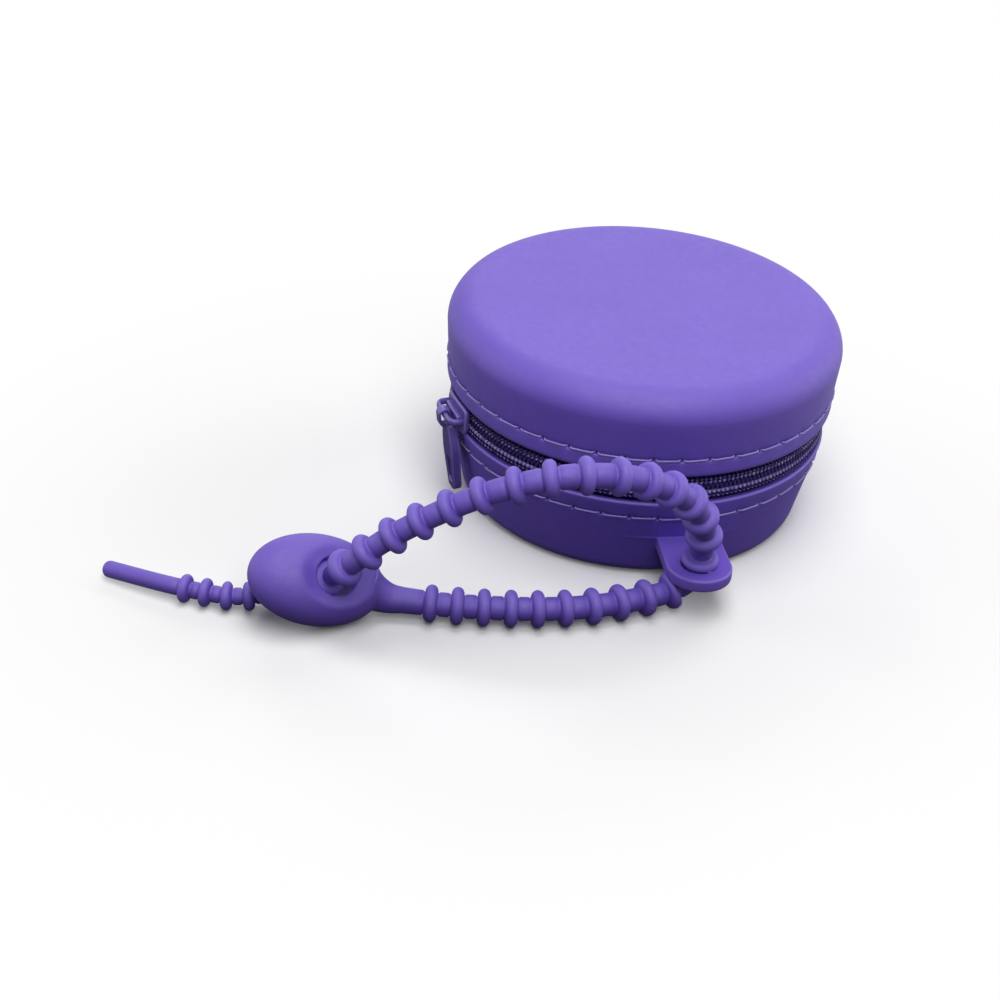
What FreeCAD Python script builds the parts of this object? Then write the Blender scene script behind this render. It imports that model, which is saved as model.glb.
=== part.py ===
import FreeCAD, Part
import math
import os

# Round zip case of two soft silicone shells, with a ribbed strap looped through its lug.
# Millimetres, +Z up. The origin is the middle of the base, on the surface that it stands on.
# The lug points to -Y and the back hinge to +Y.

# Case
case_height = 40.0
lid_radius = 37.5
lid_taper = 0.6
top_edge_round = 5.5
base_radius = 32.0
base_edge_round = 3.2
wall = 2.0

# Zip mouth, its lips and the sewn seams beside them
zip_height = 20.5
zip_gap = 6.0
lip_height = 3.6
lip_flare = 0.6
lip_edge_round = 0.5
lip_wall = 2.7
bowl_lip_radius = 36.1
ledge_bevel = 0.6

# Stitching
stitch_pitch = 5.3
stitch_length = 4.5
thread_diameter = 0.52
groove_width = 1.1
groove_depth = 0.3
thread_seat = 0.05

# Zip tape and chain
tape_thickness = 0.6
tape_hem = 1.4
tape_seat = 0.05
tape_set_back = 0.35
coil_width = 2.0
coil_thickness = 1.5
coil_bevel = 0.4
chain_gap = 0.8
stop_length = 2.4
stop_thickness = 1.8

# Back hinge
hinge_half_angle = 22.0
web_thickness = 0.9
web_clearance = 0.2
tape_end_gap = 2.0
coil_end_gap = 3.5

# Slider
slider_angle = 184.5
slider_length = 9.0
slider_nose_height = 4.2
slider_corner = 1.0
plate_thickness = 1.0
slider_clearance = 0.3
post_height = 0.4
post_length = 3.0
bail_length = 8.2
bail_height = 1.6
bail_thickness = 1.0
bail_opening = 1.7
bail_round = 2.6
bail_root = 0.5

# Pull tab
eye_clearance = 0.25
eye_wall = 0.7
eye_width = 2.0
tab_thickness = 1.3
tab_inset = 0.6
tab_lean = 9.0
tab_top_width = 3.0
tab_width = 5.6
tab_drop = 10.6
tab_shoulder = 4.6
tab_tip_width = 3.4
slot_width = 2.0
slot_length = 4.6
slot_drop = 7.2

# Strap lug
lug_reach = 43.5
lug_top = 9.5
lug_thickness = 2.4
lug_width = 12.8
lug_root_width = 13.6
lug_edge_round = 0.5
lug_hole = 6.0

# Strap bead
bead_centre = FreeCAD.Vector(-70.0, -39.5, 8.2)
bead_hole_axis = FreeCAD.Vector(0.260, -0.700, 0.665)
bead_long_axis = FreeCAD.Vector(0.960, 0.100, -0.260)
bead_half_length = 12.6
bead_half_width = 8.2
bead_half_depth = 6.3
bead_hole_length = 8.6
bead_hole_width = 7.2
bead_mouth_spread = 1.9
bead_mouth_depth = 2.4
stub_length = 5.0
stub_root_radius = 3.0

# Strap: plain neck, ribbed run along the floor, ribbed arch, and a slimmer ribbed tail
neck_radius = 2.4
lower_core_radius = 1.9
upper_core_radius = 2.1
tail_core_radius = 1.6
lower_rib_radius = 3.25
upper_rib_radius = 3.35
tail_rib_radius = 2.6
rib_base = 2.4
rib_crest = 1.2
lower_rib_start = 9.3
lower_rib_pitch = 4.77
lower_rib_count = 10
upper_rib_start = 64.0
upper_rib_pitch = 6.1
upper_rib_count = 16
tail_rib_start = 163.3
tail_rib_pitch = 3.9
tail_rib_count = 8
station_step = 1.8
tip_round = 1.2
tip_shoulder = 0.3
tip_shoulder_radius = 1.1
tip_radius = 0.5
bend_share = 0.45

strap_route = [
    FreeCAD.Vector(-57.4, -38.8, 3.4),
    FreeCAD.Vector(-48.4, -41.5, 3.4),
    FreeCAD.Vector(-38.7, -43.4, 3.4),
    FreeCAD.Vector(-29.4, -44.8, 3.4),
    FreeCAD.Vector(-19.6, -45.2, 3.4),
    FreeCAD.Vector(-10.2, -44.2, 3.4),
    FreeCAD.Vector(-3.6, -43.4, 3.7),
    FreeCAD.Vector(0.3, -43.5, 7.0),
    FreeCAD.Vector(0.1, -43.8, 12.4),
    FreeCAD.Vector(-1.2, -47.0, 19.6),
    FreeCAD.Vector(-5.6, -51.2, 27.8),
    FreeCAD.Vector(-12.0, -54.3, 33.6),
    FreeCAD.Vector(-20.5, -57.3, 37.9),
    FreeCAD.Vector(-30.5, -57.2, 38.3),
    FreeCAD.Vector(-41.3, -54.4, 34.4),
    FreeCAD.Vector(-51.0, -51.2, 28.3),
    FreeCAD.Vector(-59.2, -48.6, 21.8),
    FreeCAD.Vector(-65.2, -46.9, 15.0),
    FreeCAD.Vector(-69.5, -39.2, 8.2),
    FreeCAD.Vector(-73.4, -33.9, 3.7),
    FreeCAD.Vector(-82.0, -34.4, 2.7),
    FreeCAD.Vector(-90.0, -31.9, 2.7),
    FreeCAD.Vector(-97.2, -27.5, 2.7),
    FreeCAD.Vector(-103.8, -22.4, 2.7),
]

# Radii and heights that follow from the sizes above
seam_radius = lid_radius - lid_taper
lip_radius = seam_radius + lip_flare
lip_inner_radius = seam_radius - lip_wall
lid_lip_z = zip_height + zip_gap / 2
bowl_lip_z = zip_height - zip_gap / 2
lid_seam_z = lid_lip_z + lip_height
bowl_seam_z = bowl_lip_z - lip_height
tape_radius = lip_inner_radius - tape_seat
tape_inner_radius = tape_radius - tape_thickness
coil_radius = tape_radius + tape_seat
coil_outer_radius = coil_radius + coil_thickness
chain_edge = chain_gap / 2
plate_inner_radius = coil_outer_radius + slider_clearance
plate_outer_radius = plate_inner_radius + plate_thickness
pivot_radius = plate_outer_radius + bail_opening + bail_thickness / 2
axis_z = FreeCAD.Vector(0, 0, 1)
origin = FreeCAD.Vector(0, 0, 0)


def section(radius, height):
    """Point of a turned profile, in the XZ plane."""
    return FreeCAD.Vector(radius, 0, height)


def line(start, end):
    return Part.LineSegment(start, end).toShape()


def arc(start, middle, end):
    return Part.Arc(start, middle, end).toShape()


def chain(points):
    """Straight edges through the points, in order."""
    return [line(a, b) for a, b in zip(points, points[1:])]


def turned(edges, start=0.0, sweep=360.0):
    """Solid turned about the case axis from a closed profile in the XZ plane."""
    face = Part.Face(Part.Wire(edges))
    solid = face.revolve(origin, axis_z, sweep)
    solid.rotate(origin, axis_z, start)
    return solid


def band(inner, outer, bottom, top, start=0.0, sweep=360.0):
    """Ring or ring sector of rectangular section."""
    corners = [section(inner, bottom), section(outer, bottom), section(outer, top), section(inner, top)]
    return turned(chain(corners + corners[:1]), start, sweep)


def arc_degrees(length, radius):
    return math.degrees(length / radius)


def groove(seam_z, side, body_radius, edge_radius):
    """Profile points of the stitch groove, from the body side of the seam to the lip side."""
    half = groove_width / 2
    floor_radius = (body_radius + edge_radius) / 2 - groove_depth
    return [
        section(body_radius, seam_z + side * half),
        section(floor_radius, seam_z + side * half / 2),
        section(floor_radius, seam_z - side * half / 2),
        section(edge_radius, seam_z - side * half),
    ]


def lip(seam_z, lip_z, side, radius):
    """Profile points of a lip, from the seam to its inner edge."""
    return [
        section(radius, lip_z + side * lip_edge_round),
        section(radius - lip_edge_round, lip_z),
        section(lip_inner_radius, lip_z),
        section(lip_inner_radius, seam_z + side * (tape_hem + tape_set_back)),
    ]


def quarter_round(centre_radius, centre_z, radius):
    """Arc from the crown to the wall of the lid."""
    middle = radius * math.sqrt(0.5)
    return arc(
        section(centre_radius, centre_z + radius),
        section(centre_radius + middle, centre_z + middle),
        section(centre_radius + radius, centre_z),
    )


def lid_shell():
    crown_radius = lid_radius - top_edge_round
    shoulder_z = case_height - top_edge_round
    inner_round = top_edge_round - wall
    inner_wall_radius = lid_radius - wall
    ledge_z = lid_seam_z + tape_hem + tape_set_back + (inner_wall_radius - lip_inner_radius)
    edges = [line(section(0, case_height), section(crown_radius, case_height))]
    edges.append(quarter_round(crown_radius, shoulder_z, top_edge_round))
    outside = [section(lid_radius, shoulder_z)] + groove(lid_seam_z, 1, seam_radius, seam_radius)
    outside += lip(lid_seam_z, lid_lip_z, 1, lip_radius)
    outside.append(section(inner_wall_radius, ledge_z))
    outside.append(section(inner_wall_radius, shoulder_z))
    edges += chain(outside)
    edges.append(quarter_round(crown_radius, shoulder_z, inner_round))
    top_inside = section(0, case_height - wall)
    edges.append(line(section(crown_radius, case_height - wall), top_inside))
    edges.append(line(top_inside, section(0, case_height)))
    return turned(edges)


def base_corner(corner_radius, corner_z, lean, radius):
    """Tangent points and middle of the round between the base and the leaning wall."""
    turn = math.pi / 2 - lean
    reach = radius * math.tan(turn / 2)
    first = section(corner_radius - reach, corner_z)
    last = section(corner_radius + reach * math.sin(lean), corner_z + reach * math.cos(lean))
    middle = section(
        corner_radius - reach + radius * math.sin(turn / 2),
        corner_z + radius - radius * math.cos(turn / 2),
    )
    return first, middle, last


def bowl_lean():
    """Lean of the bowl's wall from upright, in radians."""
    return math.atan((bowl_lip_radius - base_radius) / bowl_lip_z)


def bowl_outside(height):
    """Outer radius of the bowl's leaning wall at a height."""
    return base_radius + math.tan(bowl_lean()) * height


def bowl_shell():
    lean = bowl_lean()
    inner_corner_radius = bowl_outside(wall) - wall / math.cos(lean)
    ledge_z = bowl_seam_z - tape_hem - tape_set_back
    inner_ledge_z = ledge_z - ledge_bevel
    first, middle, last = base_corner(base_radius, 0, lean, base_edge_round)
    edges = [line(origin, first), arc(first, middle, last)]
    inner_top = section(bowl_outside(inner_ledge_z) - wall / math.cos(lean), inner_ledge_z)
    half = groove_width / 2
    outside = [last] + groove(bowl_seam_z, -1, bowl_outside(bowl_seam_z - half), bowl_outside(bowl_seam_z + half))
    outside += lip(bowl_seam_z, bowl_lip_z, -1, bowl_outside(bowl_lip_z - lip_edge_round))
    first_in, middle_in, last_in = base_corner(inner_corner_radius, wall, lean, base_edge_round - wall)
    edges += chain(outside + [inner_top, last_in])
    edges.append(arc(last_in, middle_in, first_in))
    edges += chain([first_in, section(0, wall), origin])
    return turned(edges).fuse(lug()).cut(lug_bore()).removeSplitter()


def lug():
    """Flat tab that stands out from the bowl's wall, its sides tangent to its round end."""
    bottom = lug_top - lug_thickness
    root_y = -(bowl_outside(bottom) - wall / 2)
    half = lug_width / 2
    root_half = lug_root_width / 2
    run = lug_reach + root_y
    lean = math.atan2(run, root_half) - math.acos(half / math.hypot(root_half, run))
    side_x = half * math.cos(lean)
    side_y = half * math.sin(lean) - lug_reach
    left_root = FreeCAD.Vector(-root_half, root_y, bottom)
    right_root = FreeCAD.Vector(root_half, root_y, bottom)
    left = FreeCAD.Vector(-side_x, side_y, bottom)
    right = FreeCAD.Vector(side_x, side_y, bottom)
    end = FreeCAD.Vector(0, -lug_reach - half, bottom)
    edges = chain([right, right_root, left_root, left])
    edges.append(arc(left, end, right))
    plate = Part.Face(Part.Wire(edges)).extrude(axis_z * lug_thickness)
    rounded = [edge for edge in plate.Edges if isinstance(edge.Curve, Part.Circle)]
    return plate.makeFillet(min(lug_edge_round, lug_thickness / 3), rounded)


def lug_bore():
    start = FreeCAD.Vector(0, -lug_reach, lug_top - 2 * lug_thickness)
    return Part.makeCylinder(lug_hole / 2, 3 * lug_thickness, start)


def stitching(seam_z, wall_radius):
    """Row of separate thread lengths lying in a seam's groove."""
    centre_radius = wall_radius - groove_depth + thread_seat + thread_diameter / 2
    count = round(2 * math.pi * centre_radius / stitch_pitch)
    sweep = arc_degrees(stitch_length, centre_radius)
    rim = Part.Circle(section(centre_radius, seam_z), FreeCAD.Vector(0, 1, 0), thread_diameter / 2)
    return Part.makeCompound([turned([rim.toShape()], 360.0 * k / count, sweep) for k in range(count)])


def open_span(gap):
    """Start angle and sweep of a strip that runs round the case and ends short of the hinge."""
    clear = hinge_half_angle + gap
    return 90.0 + clear, 360.0 - 2 * clear


def upper_tape():
    start, sweep = open_span(tape_end_gap)
    bottom = zip_height + chain_edge + tape_set_back
    return band(tape_inner_radius, tape_radius, bottom, lid_seam_z + tape_hem, start, sweep)


def lower_tape():
    start, sweep = open_span(tape_end_gap)
    top = zip_height - chain_edge - tape_set_back
    return band(tape_inner_radius, tape_radius, bowl_seam_z - tape_hem, top, start, sweep)


def coil(inner_z, side):
    """Half of the zip chain, a bevelled strip on the outside of its tape."""
    start, sweep = open_span(coil_end_gap + arc_degrees(stop_length, coil_radius))
    outer_z = inner_z + side * coil_width
    bevel = side * coil_bevel
    corners = [
        section(coil_radius, inner_z),
        section(coil_outer_radius - coil_bevel, inner_z),
        section(coil_outer_radius, inner_z + bevel),
        section(coil_outer_radius, outer_z - bevel),
        section(coil_outer_radius - coil_bevel, outer_z),
        section(coil_radius, outer_z),
    ]
    return turned(chain(corners + corners[:1]), start, sweep)


def end_stops(inner_z, side):
    """Two stops clamped on a tape, one at each end of the chain."""
    start, sweep = open_span(coil_end_gap)
    length = arc_degrees(stop_length, coil_radius) - arc_degrees(tape_seat, coil_radius)
    bottom, top = sorted([inner_z, inner_z + side * coil_width])
    outer = coil_radius + stop_thickness
    first = band(coil_radius, outer, bottom, top, start, length)
    last = band(coil_radius, outer, bottom, top, start + sweep - length, length)
    return Part.makeCompound([first, last])


def hinge_web():
    """Flexible strip behind both lips at the back, sewn in with the two seams."""
    outer = lip_inner_radius - web_clearance
    bottom = bowl_seam_z - tape_hem
    top = lid_seam_z + tape_hem
    return band(outer - web_thickness, outer, bottom, top, 90.0 - hinge_half_angle, 2 * hinge_half_angle)


def slider_outline(inner, outer):
    """Slider plate between two radii, tapered from its mouth to its tail."""
    half = slider_length / 2
    mouth = zip_gap / 2 - slider_clearance
    tail = slider_nose_height / 2
    low, high = inner - plate_thickness, outer - inner + 2 * plate_thickness
    points = [
        (half, mouth - slider_corner),
        (half - slider_corner, mouth),
        (0.0, mouth),
        (-half + slider_corner, tail + slider_corner / 2),
        (-half, tail - slider_corner / 2),
    ]
    loop = points + [(y, -z) for y, z in reversed(points)]
    corners = [FreeCAD.Vector(low, y, zip_height + z) for y, z in loop]
    prism = Part.Face(Part.makePolygon(corners + corners[:1])).extrude(FreeCAD.Vector(high, 0, 0))
    sweep = 2 * arc_degrees(slider_length, inner)
    ring = band(inner, outer, zip_height - zip_gap, zip_height + zip_gap, -sweep / 2, sweep)
    return ring.common(prism)


def bail():
    """Arch on the slider's outer plate that carries the pull."""
    outer_x = pivot_radius + bail_thickness / 2
    inner_x = pivot_radius - bail_thickness / 2
    foot_x = plate_outer_radius - bail_root
    bottom = zip_height - bail_height / 2

    def arch(crest_x, half, radius):
        at = [(foot_x, -half), (crest_x - radius, -half), (crest_x, -half + radius)]
        at += [(crest_x, half - radius), (crest_x - radius, half), (foot_x, half)]
        points = [FreeCAD.Vector(x, y, bottom) for x, y in at]
        bend = radius * (1 - math.sqrt(0.5))
        low = FreeCAD.Vector(crest_x - bend, -half + bend, bottom)
        high = FreeCAD.Vector(crest_x - bend, half - bend, bottom)
        edges = [line(points[0], points[1]), arc(points[1], low, points[2]), line(points[2], points[3])]
        edges += [arc(points[3], high, points[4]), line(points[4], points[5]), line(points[5], points[0])]
        return Part.Face(Part.Wire(edges)).extrude(axis_z * bail_height)

    half = bail_length / 2
    inner_round = max(bail_round - bail_thickness, bail_thickness / 4)
    return arch(outer_x, half, bail_round).cut(arch(inner_x, half - bail_thickness, inner_round))


def at_slider(shape):
    """Shape made at angle zero, turned to where the slider rests."""
    shape.rotate(origin, axis_z, slider_angle)
    return shape


def slider_body():
    """Two curved plates either side of the chain, joined by a thin post, with the bail outside."""
    inner_plate_outside = tape_inner_radius - slider_clearance
    outer_plate = slider_outline(plate_inner_radius, plate_outer_radius)
    inner_plate = slider_outline(inner_plate_outside - plate_thickness, inner_plate_outside)
    post_start = inner_plate_outside - plate_thickness / 2
    post = Part.makeBox(
        plate_inner_radius + plate_thickness / 2 - post_start,
        post_length,
        post_height,
        FreeCAD.Vector(post_start, -post_length / 2, zip_height - post_height / 2),
    )
    plate_with_bail = outer_plate.fuse(bail())
    return at_slider(plate_with_bail.fuse([post, inner_plate]).removeSplitter())


def eye_inner_radius():
    return math.hypot(bail_thickness, bail_height) / 2 + eye_clearance


def pull_tab():
    """Hanging tab with a cross eye round the bail and a long slot near its tip."""
    pivot = FreeCAD.Vector(pivot_radius, -eye_width / 2, zip_height)
    axis_y = FreeCAD.Vector(0, 1, 0)
    eye_outer = eye_inner_radius() + eye_wall
    eye = Part.makeCylinder(eye_outer, eye_width, pivot, axis_y)
    bore = Part.makeCylinder(eye_inner_radius(), eye_width, pivot, axis_y)
    inner_x = pivot_radius - tab_inset - tab_thickness / 2
    top = zip_height - eye_inner_radius() - eye_wall / 3
    tip = zip_height - tab_drop
    shoulder = zip_height - tab_shoulder
    round_z = tip + tab_tip_width / 2

    def at(y, z):
        return FreeCAD.Vector(inner_x, y, z)

    half_top, half, half_tip = tab_top_width / 2, tab_width / 2, tab_tip_width / 2
    edges = chain([at(-half_tip, round_z), at(-half, shoulder), at(-half_top, top), at(half_top, top)])
    edges += chain([at(half_top, top), at(half, shoulder), at(half_tip, round_z)])
    edges.append(arc(at(half_tip, round_z), at(0, tip), at(-half_tip, round_z)))
    tab = Part.Face(Part.Wire(edges)).extrude(FreeCAD.Vector(tab_thickness, 0, 0))
    hanging = eye.fuse(tab).cut([bore, tab_slot(inner_x)]).removeSplitter()
    hanging.rotate(pivot, axis_y, tab_lean)
    return at_slider(hanging)


def tab_slot(inner_x):
    """Long round-ended slot through the tab."""
    half = slot_width / 2
    run = (slot_length - slot_width) / 2
    middle = zip_height - slot_drop
    start_x = inner_x - tab_thickness

    def at(y, z):
        return FreeCAD.Vector(start_x, y, middle + z)

    edges = [line(at(half, -run), at(half, run)), arc(at(half, run), at(0, run + half), at(-half, run))]
    edges += [line(at(-half, run), at(-half, -run)), arc(at(-half, -run), at(0, -run - half), at(half, -run))]
    return Part.Face(Part.Wire(edges)).extrude(FreeCAD.Vector(3 * tab_thickness, 0, 0))


class Run:
    """Straight stretch of the strap's centre line."""

    def __init__(self, start, end):
        self.start = start
        self.heading = (end - start).normalize()
        self.length = start.distanceToPoint(end)

    def at(self, along):
        return self.start + self.heading * along, self.heading


class Bend:
    """Arc of the strap's centre line, tangent to the runs beside it."""

    def __init__(self, start, heading, side, radius, turn):
        self.start = start
        self.heading = heading
        self.side = side
        self.radius = radius
        self.length = radius * turn

    def at(self, along):
        angle = along / self.radius
        forward = self.heading * math.sin(angle) + self.side * (1 - math.cos(angle))
        tangent = self.heading * math.cos(angle) + self.side * math.sin(angle)
        return self.start + forward * self.radius, tangent


def centre_line(points):
    """Straight runs joined by arcs, each as large as its two runs allow."""
    pieces = []
    start = points[0]
    for before, corner, after in zip(points, points[1:], points[2:]):
        heading = (corner - before).normalize()
        leaving = (after - corner).normalize()
        turn = heading.getAngle(leaving)
        reach = bend_share * min(corner.distanceToPoint(before), after.distanceToPoint(corner))
        entry = corner - heading * reach
        side = (leaving - heading * math.cos(turn)).normalize()
        pieces.append(Run(start, entry))
        pieces.append(Bend(entry, heading, side, reach / math.tan(turn / 2), turn))
        start = corner + leaving * reach
    pieces.append(Run(start, points[-1]))
    return pieces


def along_line(pieces, distance):
    """Point and heading at a distance along the centre line."""
    for piece in pieces[:-1]:
        if distance <= piece.length:
            return piece.at(distance)
        distance -= piece.length
    return pieces[-1].at(distance)


def rib_places():
    """Distance and crest radius of every rib, from the neck to the tail."""
    groups = [
        (lower_rib_start, lower_rib_pitch, lower_rib_count, lower_rib_radius),
        (upper_rib_start, upper_rib_pitch, upper_rib_count, upper_rib_radius),
        (tail_rib_start, tail_rib_pitch, tail_rib_count, tail_rib_radius),
    ]
    return [(first + pitch * k, radius) for first, pitch, count, radius in groups for k in range(count)]


def core_radius(distance, total):
    """Radius of the strap between its ribs, blended from stretch to stretch."""
    lower_end = lower_rib_start + lower_rib_pitch * (lower_rib_count - 1)
    upper_end = upper_rib_start + upper_rib_pitch * (upper_rib_count - 1)
    stages = [
        (0.0, neck_radius),
        (lower_rib_start, lower_core_radius),
        (lower_end, lower_core_radius),
        (upper_rib_start, upper_core_radius),
        (upper_end, upper_core_radius),
        (tail_rib_start, tail_core_radius),
        (total, tail_core_radius),
    ]
    for (d0, r0), (d1, r1) in zip(stages, stages[1:]):
        if distance <= d1:
            return r0 + (r1 - r0) * (distance - d0) / (d1 - d0)
    return tail_core_radius


def strap_stations(total):
    """Distances and radii of the circles that the strap is drawn through."""
    stations = [(0.0, neck_radius)]
    for place, crest in rib_places():
        base = place - rib_base / 2
        last = stations[-1][0]
        steps = max(1, math.ceil((base - last) / station_step))
        for k in range(1, steps + 1):
            distance = last + (base - last) * k / steps
            stations.append((distance, core_radius(distance, total)))
        stations.append((place - rib_crest / 2, crest))
        stations.append((place + rib_crest / 2, crest))
        stations.append((place + rib_base / 2, core_radius(place + rib_base / 2, total)))
    last = stations[-1][0]
    rod_end = total - tip_round
    steps = math.ceil((rod_end - last) / station_step)
    stations += [(last + (rod_end - last) * k / steps, tail_core_radius) for k in range(1, steps + 1)]
    stations.append((total - tip_shoulder, tip_shoulder_radius))
    stations.append((total, tip_radius))
    return stations


def strap_cord():
    """Ribbed silicone strap, one ruled skin through circles on an untwisted axis."""
    pieces = centre_line(strap_route)
    total = sum(piece.length for piece in pieces)
    side = axis_z
    circles = []
    expected = 0.0
    previous = None
    for distance, radius in strap_stations(total):
        point, heading = along_line(pieces, distance)
        side = (side - heading * side.dot(heading)).normalize()
        ring = Part.makeCircle(radius)
        ring.Placement = FreeCAD.Placement(point, FreeCAD.Rotation(side, heading.cross(side), heading, "ZXY"))
        circles.append(Part.Wire(ring))
        if previous:
            step = distance - previous[0]
            expected += math.pi * step * (radius**2 + radius * previous[1] + previous[1] ** 2) / 3
        previous = (distance, radius)
    solid = Part.makeLoft(circles, True, True)
    bends = [piece for piece in pieces if isinstance(piece, Bend)]
    print("strap length", round(total, 1), "circles", len(circles))
    print("strap bend radii", [round(bend.radius, 1) for bend in bends])
    print("strap turns", [round(math.degrees(bend.length / bend.radius)) for bend in bends])
    print("strap volume", round(solid.Volume, 1), "expected", round(expected, 1), "valid", solid.isValid())
    return solid


def bead_placed(shape):
    """Shape made about the origin, with X along the bead and Z along its hole, set in its place."""
    hole = FreeCAD.Vector(bead_hole_axis).normalize()
    width = hole.cross(bead_long_axis).normalize()
    length = width.cross(hole)
    shape.Placement = FreeCAD.Placement(bead_centre, FreeCAD.Rotation(length, width, hole, "ZXY"))
    return shape


def ellipsoid(half_length, half_width, half_depth, height=0.0):
    """Ellipsoid about a point on the Z axis."""
    ball = Part.makeSphere(1.0)
    matrix = FreeCAD.Matrix()
    matrix.scale(half_length, half_width, half_depth)
    matrix.move(FreeCAD.Vector(0, 0, height))
    return ball.transformGeometry(matrix)


def strap_bead():
    """Egg-shaped head of the strap, with an oval dished hole for the tail and a stub for the neck."""
    half_hole_length = bead_hole_length / 2
    half_hole_width = bead_hole_width / 2
    rim = Part.Ellipse(FreeCAD.Vector(0, 0, -bead_half_length), half_hole_length, half_hole_width).toShape()
    hole = Part.Face(Part.Wire(rim)).extrude(axis_z * 2 * bead_half_length)
    body = ellipsoid(bead_half_length, bead_half_width, bead_half_depth)
    spread_length = half_hole_length + bead_mouth_spread
    spread_width = half_hole_width + bead_mouth_spread
    mouths = [
        ellipsoid(spread_length, spread_width, bead_mouth_depth, side * bead_half_depth) for side in (1, -1)
    ]
    egg = bead_placed(body)
    cuts = [bead_placed(tool) for tool in [hole] + mouths]
    toward_bead = (strap_route[0] - strap_route[1]).normalize()
    stub_start = strap_route[0] + toward_bead * stub_length
    stub = Part.makeCone(stub_root_radius, neck_radius, stub_length, stub_start, toward_bead * -1)
    return egg.fuse(stub).cut(cuts).removeSplitter()


def save(name, shape):
    solids = shape.Solids
    print(name, "solids", len(solids), "valid", shape.isValid(), "volume", round(shape.Volume, 1))
    result = solids[0] if len(solids) == 1 else shape
    result.exportStep(os.path.join("parts", name + ".step"))


def main():
    os.makedirs("parts", exist_ok=True)
    upper_chain_z = zip_height + chain_edge
    lower_chain_z = zip_height - chain_edge
    save("lid_shell", lid_shell())
    save("bowl_shell", bowl_shell())
    save("hinge_web", hinge_web())
    save("lid_stitching", stitching(lid_seam_z, seam_radius))
    save("bowl_stitching", stitching(bowl_seam_z, bowl_outside(bowl_seam_z)))
    save("upper_tape", upper_tape())
    save("lower_tape", lower_tape())
    save("upper_coil", coil(upper_chain_z, 1))
    save("lower_coil", coil(lower_chain_z, -1))
    save("upper_end_stops", end_stops(upper_chain_z, 1))
    save("lower_end_stops", end_stops(lower_chain_z, -1))
    save("slider_body", slider_body())
    save("pull_tab", pull_tab())
    save("strap_bead", strap_bead())
    save("strap_cord", strap_cord())


main()
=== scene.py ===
"""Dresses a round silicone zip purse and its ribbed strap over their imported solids."""

import logging
import math
from dataclasses import dataclass, field, replace
from enum import Enum
from typing import Callable, Dict, List, Optional, Sequence, Tuple

import bpy
from mathutils import Matrix, Vector, noise


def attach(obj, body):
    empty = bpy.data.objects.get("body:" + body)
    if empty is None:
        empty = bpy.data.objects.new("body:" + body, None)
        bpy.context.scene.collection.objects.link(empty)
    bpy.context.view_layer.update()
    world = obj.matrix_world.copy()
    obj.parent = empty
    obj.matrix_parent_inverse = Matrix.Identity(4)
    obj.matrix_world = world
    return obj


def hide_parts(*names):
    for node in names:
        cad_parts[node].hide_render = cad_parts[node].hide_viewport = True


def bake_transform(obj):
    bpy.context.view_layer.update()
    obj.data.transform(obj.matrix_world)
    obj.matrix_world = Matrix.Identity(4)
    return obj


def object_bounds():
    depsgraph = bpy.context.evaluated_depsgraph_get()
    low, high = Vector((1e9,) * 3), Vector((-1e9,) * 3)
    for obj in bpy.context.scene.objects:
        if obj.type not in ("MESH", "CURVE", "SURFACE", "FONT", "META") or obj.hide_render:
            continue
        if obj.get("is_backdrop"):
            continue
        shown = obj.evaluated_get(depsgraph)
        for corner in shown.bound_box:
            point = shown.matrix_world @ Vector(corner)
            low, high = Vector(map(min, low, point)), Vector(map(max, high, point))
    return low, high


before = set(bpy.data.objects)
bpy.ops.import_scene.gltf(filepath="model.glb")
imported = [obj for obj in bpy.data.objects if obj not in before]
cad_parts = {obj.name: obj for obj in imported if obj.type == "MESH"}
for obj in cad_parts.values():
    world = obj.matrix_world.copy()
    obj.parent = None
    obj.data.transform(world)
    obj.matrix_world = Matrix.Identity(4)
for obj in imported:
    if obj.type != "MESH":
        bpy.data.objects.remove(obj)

LOG = logging.getLogger("zip_purse")
MM = 0.001
Colour = Tuple[float, float, float, float]
Flat = Tuple[float, float]
Triple = Tuple[float, float, float]
Ring = List[Vector]
Place = Callable[[float, float, float], Vector]
Piece = bpy.types.Object
Node = bpy.types.Node
Socket = bpy.types.NodeSocket
Sockets = bpy.types.NodeOutputs


class Body(Enum):
    """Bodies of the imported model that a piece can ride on."""

    BOWL = "bowl"
    LID = "lid"
    SLIDER = "zip_slider"
    PULL = "zip_pull"
    STRAP = "strap"


class Slot(Enum):
    """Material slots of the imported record."""

    SILICONE = "silicone"
    STRAP = "strap_silicone"
    WEB = "web"
    TAPE = "tape"
    COIL = "coil"
    THREAD = "thread"
    METAL = "painted_zip_metal"


class Side(Enum):
    """Half of the case that a seam, tape or coil belongs to."""

    UPPER = 1
    LOWER = -1


class SocketKind(Enum):
    """Socket types of a shader group."""

    VALUE = "NodeSocketFloat"
    COLOUR = "NodeSocketColor"


def put(name: str, data: bpy.types.ID) -> Piece:
    """Makes an object and links it to the scene."""
    made = bpy.data.objects.new(name, data)
    bpy.context.scene.collection.objects.link(made)
    return made


def turned(radius: float, angle: float, height: float) -> Vector:
    """Point at a radius and an angle round the case's axis."""
    return Vector((radius * math.cos(angle), radius * math.sin(angle), height))


def ramp(steps: int, end: float = math.pi / 2) -> List[float]:
    """Values from 0 to an end, which is a quarter turn unless given, in equal steps."""
    return [end * k / steps for k in range(steps + 1)]


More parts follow.
